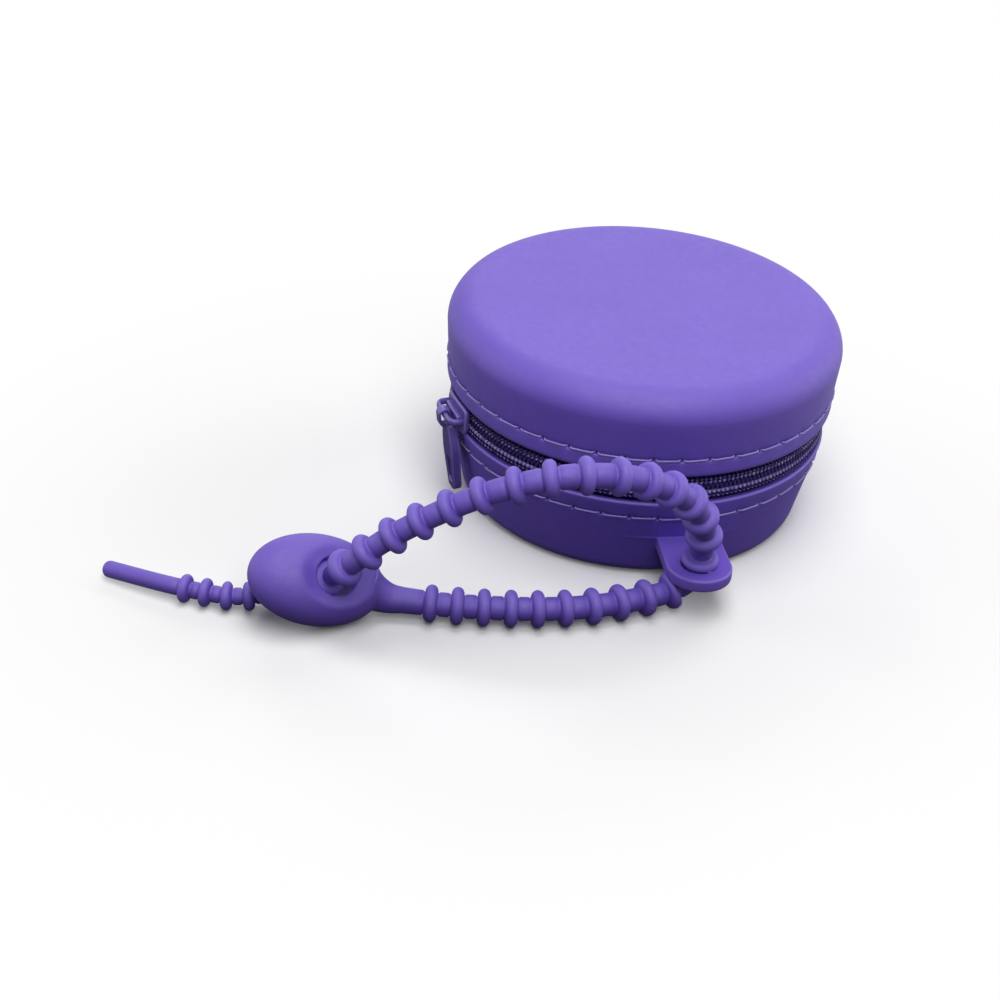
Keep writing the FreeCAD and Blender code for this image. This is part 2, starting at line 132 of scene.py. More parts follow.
def soft_corners(corners: Sequence[Triple], steps: int, closed: bool = False) -> List[Flat]:
    """Rounds the corners of a flat path.

    Args:
        corners: Points as (first, second, length of rounding along each side).
        steps: Pieces that each rounding is drawn in.
        closed: Whether the path ends where it starts.

    Returns:
        The points of the rounded path.
    """
    made: List[Flat] = []
    count = len(corners)
    for index, (x, y, size) in enumerate(corners):
        inner = closed or 0 < index < count - 1
        if not inner or size <= 0:
            made.append((x, y))
            continue
        here = Vector((x, y))
        before = Vector(corners[index - 1][:2])
        after = Vector(corners[(index + 1) % count][:2])
        start = here + (before - here).normalized() * min(size, (before - here).length * 0.499)
        end = here + (after - here).normalized() * min(size, (after - here).length * 0.499)
        for t in ramp(steps, 1.0):
            point = start * (1 - t) ** 2 + here * 2 * t * (1 - t) + end * t**2
            made.append((point.x, point.y))
    return made


def even_outline(outline: Sequence[Flat], count: int) -> List[Flat]:
    """Spaces a closed outline's points evenly.

    Args:
        outline: Closed flat path, without its first point repeated.
        count: Number of points wanted.

    Returns:
        The evenly spaced points, starting at the outline's first one.
    """
    loop = [Vector(p) for p in outline] + [Vector(outline[0])]
    reach = [0.0]
    for one, two in zip(loop, loop[1:]):
        reach.append(reach[-1] + (two - one).length)
    made: List[Flat] = []
    at = 0
    for k in range(count):
        goal = reach[-1] * k / count
        while reach[at + 1] < goal:
            at += 1
        share = (goal - reach[at]) / max(reach[at + 1] - reach[at], 1e-12)
        point = loop[at].lerp(loop[at + 1], share)
        made.append((point.x, point.y))
    return made


def soft_box(half: Flat, rounding: float, steps: int, count: int) -> List[Flat]:
    """Outline of a rectangle with rounded corners.

    Args:
        half: Half of its width and of its height.
        rounding: Length of the rounding along each side.
        steps: Pieces that each rounding is drawn in.
        count: Number of points wanted.

    Returns:
        The evenly spaced points.
    """
    wide, tall = half
    signs = ((-1, -1), (1, -1), (1, 1), (-1, 1))
    corners = [(wide * x, tall * y, rounding) for x, y in signs]
    return even_outline(soft_corners(corners, steps, closed=True), count)


def edge_round(edge: float, high: float, steps: int = 4) -> List[Flat]:
    """Quarter round of a plate's upper rim, as (distance in from the rim, height)."""
    return [(edge * (1 - math.cos(a)), high - edge * (1 - math.sin(a))) for a in ramp(steps)]


@dataclass
class Skin:
    """Mesh made of rings of points, joined ring to ring.

    Several sheets can be added before the object is made, each with its own share of
    painted highlight per point, which the finishes read for edges and crests.
    """

    points: List[Vector] = field(default_factory=list)
    faces: List[Tuple[int, ...]] = field(default_factory=list)
    highlights: List[float] = field(default_factory=list)
    places: List[Flat] = field(default_factory=list)

    def add(
        self,
        rings: Sequence[Ring],
        highlights: Optional[Sequence[Sequence[float]]] = None,
        wrap_rings: bool = False,
        caps: bool = False,
    ) -> None:
        """Adds one sheet of closed rings.

        Args:
            rings: Closed rings, all with as many points.
            highlights: Share of painted highlight at every point, or none for zero.
            wrap_rings: Whether the last ring joins the first.
            caps: Whether the first and last rings are closed with a fan.
        """
        base = len(self.points)
        width = len(rings[0])
        along = 0.0
        for i, ring in enumerate(rings):
            if i:
                along += (ring[0] - rings[i - 1][0]).length
            for j, point in enumerate(ring):
                self.points.append(point)
                self.highlights.append(highlights[i][j] if highlights else 0.0)
                self.places.append((along, j / width))
        last = len(rings) if wrap_rings else len(rings) - 1
        for i in range(last):
            low, high = base + i * width, base + (i + 1) % len(rings) * width
            for j in range(width):
                k = (j + 1) % width
                self.faces.append((low + j, low + k, high + k, high + j))
        if caps:
            self.fan(range(base + width - 1, base - 1, -1))
            self.fan(range(base + (len(rings) - 1) * width, base + len(rings) * width))

    def fan(self, rim: Sequence[int]) -> None:
        """Closes a rim with triangles round its middle.

        Args:
            rim: Numbers of the rim's points, in order.
        """
        rim = list(rim)
        middle = sum((self.points[k] for k in rim), Vector()) / len(rim)
        self.points.append(middle)
        self.highlights.append(self.highlights[rim[0]])
        self.places.append(self.places[rim[0]])
        for one, two in zip(rim, rim[1:] + rim[:1]):
            self.faces.append((one, two, len(self.points) - 1))

    def build(self, name: str) -> Piece:
        """Makes the mesh object.

        Args:
            name: Name of the object and its mesh.

        Returns:
            The smooth-shaded object, linked to the scene.
        """
        mesh = bpy.data.meshes.new(name)
        mesh.from_pydata([tuple(p) for p in self.points], [], self.faces)
        mesh.polygons.foreach_set("use_smooth", [True] * len(mesh.polygons))
        # The highlight attribute carries each point's share of painted highlight; the finishes mix
        # it in as their crest colour.
        highlight = mesh.attributes.new("highlight", "FLOAT", "POINT")
        highlight.data.foreach_set("value", self.highlights)
        layer = mesh.uv_layers.new(name="along")
        placed = [value for loop in mesh.loops for value in self.places[loop.vertex_index]]
        layer.data.foreach_set("uv", placed)
        mesh.update()
        return put(name, mesh)


@dataclass
class Trail:
    """Line of close points, read by distance along it."""

    points: List[Vector]
    reach: List[float] = field(default_factory=list)

    def __post_init__(self) -> None:
        """Adds up the distances."""
        self.reach = [0.0]
        for one, two in zip(self.points, self.points[1:]):
            self.reach.append(self.reach[-1] + (two - one).length)

    @property
    def length(self) -> float:
        """Length of the whole line."""
        return self.reach[-1]

    def at(self, distance: float) -> Vector:
        """Point at a distance along the line.

        Args:
            distance: Distance from the start, held to the line's ends.

        Returns:
            The point between the two nearest ones.
        """
        distance = min(max(distance, 0.0), self.length)
        low, high = 0, len(self.points) - 1
        while high - low > 1:
            middle = (low + high) // 2
            if self.reach[middle] <= distance:
                low = middle
            else:
                high = middle
        span = max(self.reach[high] - self.reach[low], 1e-12)
        return self.points[low].lerp(self.points[high], (distance - self.reach[low]) / span)

    def heading(self, distance: float, window: float = 0.0004) -> Vector:
        """Direction of the line at a distance, taken over a short window."""
        return (self.at(distance + window) - self.at(distance - window)).normalized()


def tube(skin: Skin, trail: Trail, stations: Sequence[Triple], sides: int, lobes: int = 0,
         lobe_depth: float = 0.0, lay: float = 1.0, up: Vector = Vector((0, 0, 1))) -> None:
    """Adds a tube along a line.

    Args:
        skin: Mesh that takes the tube.
        trail: Line that the tube follows.
        stations: Rings as (distance, radius, share of painted highlight).
        sides: Points in each ring.
        lobes: Plies of a twisted thread, or 0 for a round tube.
        lobe_depth: Depth of the furrows between plies, as a share of the radius.
        lay: Length in which the plies turn once.
        up: Direction that the first ring starts from.
    """
    rings: List[Ring] = []
    highlights: List[List[float]] = []
    side = up.copy()
    for distance, radius, highlight in stations:
        heading = trail.heading(distance)
        side = (side - heading * side.dot(heading)).normalized()
        other = heading.cross(side)
        middle = trail.at(distance)
        ring: Ring = []
        for k in range(sides):
            angle = 2 * math.pi * k / sides
            swell = 1.0
            if lobes:
                swell += lobe_depth * math.cos(lobes * (angle - 2 * math.pi * distance / lay))
            out = side * math.cos(angle) + other * math.sin(angle)
            ring.append(middle + out * radius * swell)
        rings.append(ring)
        highlights.append([highlight] * sides)
    skin.add(rings, highlights, caps=True)


def washer(skin: Skin, outer: Sequence[Flat], inner: Sequence[Flat], low: float, high: float,
           edge: float, place: Place, rows: int) -> None:
    """Adds a holed plate with rounded edges.

    Args:
        skin: Mesh that takes the plate.
        outer: Closed outline of the plate.
        inner: Closed outline of its hole, with as many points.
        low: Height of the lower face.
        high: Height of the upper face.
        edge: Radius of the rounded edges.
        place: Takes the two flat values and a height to a point in space.
        rows: Rows of each face from the hole to the rim.
    """
    loops: List[Ring] = []
    highlights: List[List[float]] = []
    rim = edge_round(edge, high)
    # Painted highlight on the rounded edges: its share rises from 0 to 1 at the middle of each
    # round.
    rise = [(d, h, math.sin(math.pi * k / (len(rim) - 1))) for k, (d, h) in enumerate(rim)]
    for rim_point, hole_point in zip(outer, inner):
        far, near = Vector(rim_point), Vector(hole_point)
        out = (far - near).normalized()
        span = (far - near).length
        face = [(edge + (span - 2 * edge) * k / rows, high, 0.0) for k in range(1, rows)]
        fall = [(span - d, h, t) for d, h, t in reversed(rise)]
        top = rise + face + fall
        under = [(d, low + high - h, t) for d, h, t in reversed(top)]
        loop = top + under
        loops.append([place(*(near + out * d), h) for d, h, t in loop])
        highlights.append([t for d, h, t in loop])
    skin.add(loops, highlights, wrap_rings=True)


def slab(skin: Skin, outline: Sequence[Flat], low: float, high: float, edge: float,
         place: Place) -> None:
    """Adds a solid plate with rounded edges.

    Args:
        skin: Mesh that takes the plate.
        outline: Closed outline of the plate.
        low: Height of the lower face.
        high: Height of the upper face.
        edge: Radius of the rounded edges.
        place: Takes the two flat values and a height to a point in space.
    """
    count = len(outline)
    middle = sum((Vector(p) for p in outline), Vector((0, 0))) / count
    inward: List[Vector] = []
    for k in range(count):
        run = Vector(outline[(k + 1) % count]) - Vector(outline[k - 1])
        normal = Vector((-run.y, run.x)).normalized()
        if normal.dot(middle - Vector(outline[k])) < 0:
            normal.negate()
        inward.append(normal)

    def ring(inset: float, share: float, height: float) -> Ring:
        """Draws one ring of the plate.

        Args:
            inset: Distance in from the outline.
            share: Share of the way out from the middle.
            height: Height of the ring.

        Returns:
            The points of the ring.
        """
        made: Ring = []
        for point, normal in zip(outline, inward):
            flat = Vector(point) + normal * inset
            flat = middle + (flat - middle) * share
            made.append(place(flat.x, flat.y, height))
        return made

    upper = edge_round(edge, high)
    lower = [(inset, low + high - height) for inset, height in reversed(upper)]
    shares = (0.2, 0.6)
    plain = [[0.0] * count] * len(shares)
    rings = [ring(edge, share, low) for share in shares]
    highlights = list(plain)
    # Painted highlight on the rounded rims: its share peaks at the middle of each round.
    for k, (inset, height) in enumerate(lower + upper):
        rings.append(ring(inset, 1.0, height))
        highlights.append([math.sin(math.pi * (k % len(upper)) / (len(upper) - 1))] * count)
    rings += [ring(edge, share, high) for share in reversed(shares)]
    skin.add(rings, highlights + plain, caps=True)


class Bench:
    """Adds and links the nodes of one shader tree."""

    def __init__(self, tree: bpy.types.NodeTree) -> None:
        """Keeps the tree."""
        self.tree = tree

    def add(self, kind: str, **settings: object) -> Node:
        """Adds a node and sets its properties.

        Args:
            kind: Blender's name of the node type.
            settings: Properties to set on it.

        Returns:
            The new node.
        """
        node = self.tree.nodes.new(kind)
        for name, value in settings.items():
            setattr(node, name, value)
        return node

    def feed(self, target: Socket, value: object) -> None:
        """Sets or links one input.

        Args:
            target: Input to feed.
            value: Number or colour to set, or socket to link.
        """
        if isinstance(value, (int, float, tuple)):
            target.default_value = value
        else:
            self.tree.links.new(value, target)

    def fill(self, node: Node, values: Dict[object, object]) -> Node:
        """Feeds several inputs of a node.

        Args:
            node: Node to feed.
            values: Number, colour or socket of each input, by its name or number.

        Returns:
            The same node.
        """
        for key, value in values.items():
            self.feed(node.inputs[key], value)
        return node

    def math(self, operation: str, first: object, second: object = None) -> Socket:
        """Adds a Math node.

        Args:
            operation: Blender's name of the operation.
            first: Number or socket of the first input.
            second: Number or socket of the second input, if it has one.

        Returns:
            The node's output.
        """
        values = {0: first} if second is None else {0: first, 1: second}
        return self.fill(self.add("ShaderNodeMath", operation=operation), values).outputs[0]

    def noise(self, scale: object, detail: float, place: Socket) -> Socket:
        """Adds a noise texture.

        Args:
            scale: Number or socket of the scale.
            detail: Octaves of the noise.
            place: Coordinates that it is read at.

        Returns:
            The noise value, from 0 to 1.
        """
        values = {"Scale": scale, "Detail": detail, "Vector": place}
        return self.fill(self.add("ShaderNodeTexNoise"), values).outputs["Fac"]

    def span(self, value: Socket, low: float, high: float, to_low: object,
             to_high: object) -> Socket:
        """Maps a value from one range to another, held at both ends.

        Args:
            value: Socket to map.
            low: Start of the range that it comes from.
            high: End of that range.
            to_low: Number or socket that the start becomes.
            to_high: Number or socket that the end becomes.

        Returns:
            The mapped value.
        """
        values = {
            "Value": value, "From Min": low, "From Max": high, "To Min": to_low, "To Max": to_high,
        }
        return self.fill(self.add("ShaderNodeMapRange"), values).outputs["Result"]

    def mix(self, share: object, first: object, second: object) -> Socket:
        """Mixes two colours.

        Args:
            share: Number or socket of the second colour's share.
            first: Colour or socket.
            second: Colour or socket.

        Returns:
            The mixed colour.
        """
        values = {0: share, 6: first, 7: second}
        return self.fill(self.add("ShaderNodeMix", data_type="RGBA"), values).outputs[2]

    def place(self) -> Socket:
        """Coordinates in the object's own frame."""
        return self.add("ShaderNodeTexCoord").outputs["Object"]

    def rays(self, *kinds: str) -> Socket:
        """Adds a Light Path node.

        Args:
            kinds: Kinds of light ray, as the node names them.

        Returns:
            A value that is 1 for rays of any of these kinds and otherwise 0.
        """
        path = self.add("ShaderNodeLightPath").outputs
        found, *others = (path["Is " + kind + " Ray"] for kind in kinds)
        for other in others:
            found = self.math("MAXIMUM", found, other)
        return found

    def parts(self, vector: Socket) -> Sockets:
        """Parts X, Y and Z of a vector."""
        return self.fill(self.add("ShaderNodeSeparateXYZ"), {0: vector}).outputs


class Effect:
    """Shader group that several finishes place with their own values."""

    title: str = "effect"
    colours: Tuple[str, ...] = ()
    numbers: Tuple[str, ...] = ()

    def tree(self) -> bpy.types.NodeTree:
        """Makes the group's tree on first use.

        Returns:
            The tree, the same one each time.
        """
        found = bpy.data.node_groups.get(self.title)
        if found:
            return found
        tree = bpy.data.node_groups.new(self.title, "ShaderNodeTree")
        for way, kind, names in (
            ("INPUT", SocketKind.COLOUR, self.colours),
            ("INPUT", SocketKind.VALUE, self.numbers),
            ("OUTPUT", SocketKind.COLOUR, ("Colour",)),
            ("OUTPUT", SocketKind.VALUE, ("Roughness", "Height")),
        ):
            for name in names:
                tree.interface.new_socket(name=name, in_out=way, socket_type=kind.value)
        bench = Bench(tree)
        given = bench.add("NodeGroupInput").outputs
        bench.fill(bench.add("NodeGroupOutput"), self.wire(bench, given))
        return tree

    def wire(self, bench: Bench, given: Sockets) -> Dict[str, Socket]:
        """Adds the group's nodes and returns its outputs by name; each effect has its own."""
        raise NotImplementedError

    def place(self, bench: Bench, values: Dict[str, object]) -> Node:
        """Places the group in a material.

        Args:
            bench: Bench of the material's tree.
            values: Value or socket of each input, by its name.

        Returns:
            The group node.
        """
        return bench.fill(bench.add("ShaderNodeGroup", node_tree=self.tree()), values)


class MouldedSkin(Effect):
    """Cloudy colour, fine grain and a painted highlight on crests and edges, patchy along them, of
    a moulded surface.
    """

    title = "Moulded skin"
    colours = ("Colour", "Cloud colour", "Painted highlight colour")
    numbers = ("Cloud size", "Grain size", "Roughness", "Roughness spread")

    def wire(self, bench: Bench, given: Sockets) -> Dict[str, Socket]:
        """Wires clouds, crests and grain.

        Args:
            bench: Bench of the group's tree.
            given: Sockets of the group's inputs.

        Returns:
            What each output takes.
        """
        place = bench.place()
        cloud = bench.noise(given["Cloud size"], 4.0, place)
        speck = bench.noise(bench.math("MULTIPLY", given["Cloud size"], 11.0), 2.0, place)
        blotch = bench.span(cloud, 0.35, 0.65, 0.0, 1.0)
        shaded = bench.mix(blotch, given["Colour"], given["Cloud colour"])
        # Painted highlight: the mesh's highlight share, made patchy by the specks, mixes in the
        # crest colour.
        highlight = bench.add("ShaderNodeAttribute", attribute_name="highlight").outputs["Fac"]
        painted_highlight = bench.math("MULTIPLY", highlight, bench.span(speck, 0.3, 0.7, 0.55, 1.0))
        swing = bench.span(speck, 0.3, 0.7, -1.0, 1.0)
        spread = bench.math("MULTIPLY", swing, given["Roughness spread"])
        grain = bench.noise(given["Grain size"], 3.0, place)
        return {
            "Colour": bench.mix(painted_highlight, shaded, given["Painted highlight colour"]),
            "Roughness": bench.math("ADD", given["Roughness"], spread),
            "Height": bench.math("ADD", grain, bench.math("MULTIPLY", speck, 0.6)),
        }


class Weave(Effect):
    """Warp and weft of a narrow woven strip that runs round the case."""

    title = "Woven strip"
    colours = ("Yarn colour", "Hollow shade colour")
    numbers = ("Yarn width", "Radius")

    def wire(self, bench: Bench, given: Sockets) -> Dict[str, Socket]:
        """Wires the two sets of yarns, each over the other in turn.

        Args:
            bench: Bench of the group's tree.
            given: Sockets of the group's inputs.

        Returns:
            What each output takes.
        """
        place = bench.place()
        parts = bench.parts(place)
        turn = bench.math("ARCTAN2", parts["Y"], parts["X"])
        around = bench.math("MULTIPLY", turn, given["Radius"])
        pace = bench.math("DIVIDE", math.pi, given["Yarn width"])
        along = bench.math("SINE", bench.math("MULTIPLY", around, pace))
        across = bench.math("SINE", bench.math("MULTIPLY", parts["Z"], pace))
        warp, weft = bench.math("ABSOLUTE", along), bench.math("ABSOLUTE", across)
        picked = bench.span(bench.math("MULTIPLY", along, across), -0.15, 0.15, 0.0, 1.0)
        lift = bench.math("ADD", bench.math("MULTIPLY", picked, warp),
                          bench.math("MULTIPLY", bench.math("SUBTRACT", 1.0, picked), weft))
        fuzz = bench.noise(5200.0, 3.0, place)
        height = bench.math("ADD", lift, bench.math("MULTIPLY", fuzz, 0.5))
        # Painted shade: the colour goes from yarn to gap colour towards the hollows of the weave,
        # by the height that drives the bump.
        shown = bench.span(height, 0.35, 1.25, 0.0, 1.0)
        return {
            "Colour": bench.mix(shown, given["Hollow shade colour"], given["Yarn colour"]),
            "Roughness": bench.span(fuzz, 0.3, 0.7, 0.7, 0.95),
            "Height": height,
        }


class Twist(Effect):
    """Fibres of a twisted thread, by the distance along it and round it."""

    title = "Twisted fibres"
    colours = ("Fibre highlight colour", "Furrow shade colour")
    numbers = ("Lay",)
    fibres: int = 9

    def wire(self, bench: Bench, given: Sockets) -> Dict[str, Socket]:
        """Wires slanted fibres that follow the thread's lay.

        Args:
            bench: Bench of the group's tree.
            given: Sockets of the group's inputs.

        Returns:
            What each output takes.
        """
        parts = bench.parts(bench.add("ShaderNodeUVMap", uv_map="along").outputs["UV"])
        turns = bench.math("DIVIDE", parts["X"], given["Lay"])
        slant = bench.math("SUBTRACT", parts["Y"], turns)
        fibre = bench.math("SINE", bench.math("MULTIPLY", slant, 2 * math.pi * self.fibres))
        fuzz = bench.noise(3800.0, 2.0, bench.place())
        height = bench.math("ADD", bench.math("MULTIPLY", fibre, 0.35), fuzz)
        # Painted light: the fibres' crests take the light colour as a painted highlight and the
        # furrows the dark colour as painted shade.
        shown = bench.span(height, 0.1, 0.9, 0.0, 1.0)
        return {
            "Colour": bench.mix(shown, given["Furrow shade colour"], given["Fibre highlight colour"]),
            "Roughness": bench.span(fuzz, 0.3, 0.7, 0.5, 0.75),
            "Height": height,
        }


@dataclass(frozen=True)
class Finish:
    """Values that every finish has, and how its shader is closed."""

    name: str
    slot: Slot
    bump: float
    bump_reach: float
    specular: float
    sheen: float = 0.0
    sheen_roughness: float = 0.4
    sheen_tint: Colour = (1, 1, 1, 1)

    def effect(self, bench: Bench) -> Node:
        """Places the finish's effect; each kind of finish has its own."""
        raise NotImplementedError

    def material(self) -> bpy.types.Material:
        """Makes the finish's material on first use.

        Returns:
            The material, the same one each time.
        """
        found = bpy.data.materials.get(self.name)
        if found:
            return found
        made = bpy.data.materials.new(self.name)
        made.use_nodes = True
        bench = Bench(made.node_tree)
        effect = self.effect(bench).outputs
        bump = bench.fill(bench.add("ShaderNodeBump"), {
            "Strength": self.bump, "Distance": self.bump_reach, "Height": effect["Height"],
        })
        bench.fill(made.node_tree.nodes["Principled BSDF"], {
            "Base Color": effect["Colour"], "Roughness": effect["Roughness"],
            "Normal": bump.outputs["Normal"], "Specular IOR Level": self.specular,
            "Sheen Weight": self.sheen, "Sheen Roughness": self.sheen_roughness,
            "Sheen Tint": self.sheen_tint,
        })
        return made

    def dress(self, piece: Piece) -> Piece:
        """Gives a piece this finish.

        Args:
            piece: Piece to dress.

        Returns:
            The same piece.
        """
        piece.data.materials.clear()
        piece.data.materials.append(self.material())
        return piece


@dataclass(frozen=True, kw_only=True)
class MouldedFinish(Finish):
    """Moulded silicone, plastic or lacquer, and thread too fine to show its fibres."""

    colour: Colour
    cloud: Colour
    # crest: colour of the painted highlight on crests and rounded edges.
    crest: Colour
    cloud_size: float
    grain_size: float
    roughness: float
    spread: float

    def effect(self, bench: Bench) -> Node:
        """Places the moulded skin.

        Args:
            bench: Bench of the material's tree.

        Returns:
            The group node.
        """
        return MouldedSkin().place(bench, {
            "Colour": self.colour, "Cloud colour": self.cloud, "Painted highlight colour": self.crest,
            "Cloud size": self.cloud_size, "Grain size": self.grain_size,
            "Roughness": self.roughness, "Roughness spread": self.spread,
        })


@dataclass(frozen=True, kw_only=True)
class WovenFinish(Finish):
    """Woven tape."""

    yarn: Colour
    # gap: colour of the painted shade in the hollows between yarns.
    gap: Colour
    yarn_width: float
    radius: float = 0.0338

    def effect(self, bench: Bench) -> Node:
        """Places the weave.

        Args:
            bench: Bench of the material's tree.

        Returns:
            The group node.
        """
        return Weave().place(bench, {
            "Yarn colour": self.yarn, "Hollow shade colour": self.gap, "Yarn width": self.yarn_width,
            "Radius": self.radius,
        })


@dataclass(frozen=True, kw_only=True)
class ThreadFinish(Finish):
    """Sewing thread."""

    # light: painted highlight colour on the fibres' crests; dark: painted shade colour in the
    # furrows between them.
    light: Colour
    dark: Colour
    lay: float

    def effect(self, bench: Bench) -> Node:
        """Places the twisted fibres.

        Args:
            bench: Bench of the material's tree.

        Returns:
            The group node.
        """
        return Twist().place(bench, {
            "Fibre highlight colour": self.light, "Furrow shade colour": self.dark, "Lay": self.lay,
        })


# crest is the colour of the painted highlight on the lips' outer edges and the lug's rims.
CASE_SILICONE = MouldedFinish(
    "case_silicone", Slot.SILICONE, bump=0.12, bump_reach=0.00004, specular=1.0,
    sheen=0.04, sheen_tint=(0.9, 0.86, 1, 1),
    colour=(0.121, 0.058, 0.49, 1), cloud=(0.129, 0.063, 0.51, 1), crest=(0.17, 0.1, 0.55, 1),
    cloud_size=70.0, grain_size=2600.0, roughness=0.64, spread=0.04,
)
# crest is the colour of the painted highlight on the ribs' crests.
STRAP_SILICONE = replace(
    CASE_SILICONE, name="ribbed_silicone", slot=Slot.STRAP, bump=0.1,
    colour=(0.112, 0.054, 0.455, 1), cloud=(0.12, 0.059, 0.475, 1), crest=(0.16, 0.09, 0.56, 1),
    cloud_size=110.0, grain_size=2800.0, roughness=0.63, spread=0.05,
)
# gap is the colour of the painted shade in the hollows of the weave.
ZIP_TAPE = WovenFinish(
    "zip_tape", Slot.TAPE, bump=0.7, bump_reach=0.0001, specular=0.1, sheen=0.06,
    sheen_roughness=0.5, yarn_width=0.00038, yarn=(0.05, 0.026, 0.23, 1),
    gap=(0.007, 0.004, 0.036, 1),
)
# gap is the colour of the painted shade in the hollows of the weave.
HINGE_CLOTH = WovenFinish(
    "hinge_cloth", Slot.WEB, bump=0.7, bump_reach=0.00012, specular=0.2, sheen=0.25,
    sheen_roughness=0.5, yarn_width=0.00055, yarn=(0.05, 0.032, 0.19, 1),
    gap=(0.008, 0.005, 0.035, 1),
)
# crest is the colour of the painted highlight on the outer bend of each coil loop.
COIL_PLASTIC = MouldedFinish(
    "coil_plastic", Slot.COIL, bump=0.1, bump_reach=0.00003, specular=0.2,
    colour=(0.021, 0.011, 0.1, 1), cloud=(0.03, 0.016, 0.13, 1), crest=(0.09, 0.055, 0.3, 1),
    cloud_size=900.0, grain_size=4000.0, roughness=0.42, spread=0.08,
)
# light is a painted highlight on the fibres' crests and dark a painted shade in their furrows.
SEAM_THREAD = ThreadFinish(
    "seam_thread", Slot.THREAD, bump=0.5, bump_reach=0.00006, specular=0.3, sheen=0.2,
    light=(0.44, 0.37, 0.8, 1), dark=(0.27, 0.2, 0.6, 1), lay=0.0014,
)
# crest is the colour of the painted glints on the sewing threads.
COIL_THREAD = MouldedFinish(
    "coil_thread", Slot.COIL, bump=0.3, bump_reach=0.00004, specular=0.15,
    colour=(0.032, 0.018, 0.14, 1), cloud=(0.05, 0.03, 0.2, 1), crest=(0.6, 0.5, 0.95, 1),
    cloud_size=1100.0, grain_size=5200.0, roughness=0.6, spread=0.08,
)
# crest is the colour of the painted highlight on the slider's and pull's rounded edges.
ZIP_LACQUER = MouldedFinish(
    "zip_lacquer", Slot.METAL, bump=0.05, bump_reach=0.00003, specular=0.5,
    colour=(0.115, 0.072, 0.37, 1), cloud=(0.13, 0.085, 0.4, 1), crest=(0.27, 0.21, 0.58, 1),
    cloud_size=400.0, grain_size=3500.0, roughness=0.36, spread=0.06,
)


@dataclass
class Seam:
    """Sewn seam round one half of the case."""

    name: str
    height: float
    radius: float
    count: int
    stitch: float = 0.0045
    run_in: float = 0.0003
    thread_radius: float = 0.00017
    thread_lift: float = 0.00008
    dive: float = 0.0007
    dive_lead: float = 0.00045
    dive_run: float = 0.0006
    drift: float = 0.00012
    slant: float = 0.03
    groove: float = 0.00016
    groove_half: float = 0.0006
    hole_radius: float = 0.0004
    hole_depth: float = 0.001
    tension: float = 0.00012
    tension_reach: Flat = (0.0012, 0.0013)

    @property
    def pitch(self) -> float:
        """Length of one stitch with its gap."""
        return 2 * math.pi * self.radius / self.count

    def columns(self) -> List[float]:
        """Spaces a turned shell's columns, close together at the needle holes.

        Returns:
            Angles of the columns.
        """
        offsets = [0.0, 0.12, 0.24, 0.38, 0.56, 0.85, 1.3, 1.9]
        shares = [o * MM / self.pitch for o in offsets]
        shares = [-s for s in reversed(shares[1:])] + shares + [0.5]
        return [2 * math.pi * (k - 0.5 + s) / self.count for k in range(self.count) for s in shares]

    def pull_in(self, angle: float, height: float) -> float:
        """Depth that needle holes and thread tension draw the wall in.

        Args:
            angle: Angle round the case.
            height: Height on the wall.

        Returns:
            The depth, in metres.
        """
        share = angle * self.count / (2 * math.pi) + 0.5
        around = (share - round(share)) * self.pitch
        away = height - self.height
        near = math.hypot(around, away) / self.hole_radius
        hole = self.hole_depth * max(0.0, 1 - near**2) ** 1.5
        wide, tall = self.tension_reach
        return hole + self.tension * math.exp(-((around / wide) ** 2) - (away / tall) ** 2)

    def build(self) -> Piece:
        """Makes the row of stitches.

        Returns:
            The dressed row.
        """
        skin = Skin()
        crown = self.radius - self.groove + self.thread_radius + self.thread_lift
        steps = 22
        for k in range(self.count):
            middle = 2 * math.pi * k / self.count
            drift = noise.noise(Vector((k * 0.9, self.height * 500, 0.3))) * self.drift
            line: Ring = []
            for share in ramp(steps, 1.0):
                along = (share - 0.5) * (self.stitch + self.run_in)
                end = max(0.0, abs(along) - (self.stitch / 2 - self.dive_lead)) / self.dive_run
                radius = crown - self.dive * min(end, 1.3) ** 1.6
                height = self.height + drift + along * self.slant
                line.append(turned(radius, middle + along / self.radius, height))
            trail = Trail(line)
            stations = [(at, self.thread_radius, 0.0) for at in ramp(steps, trail.length)]
            tube(skin, trail, stations, 12, lobes=3, lobe_depth=0.13, lay=0.0021)
        return SEAM_THREAD.dress(skin.build(self.name))


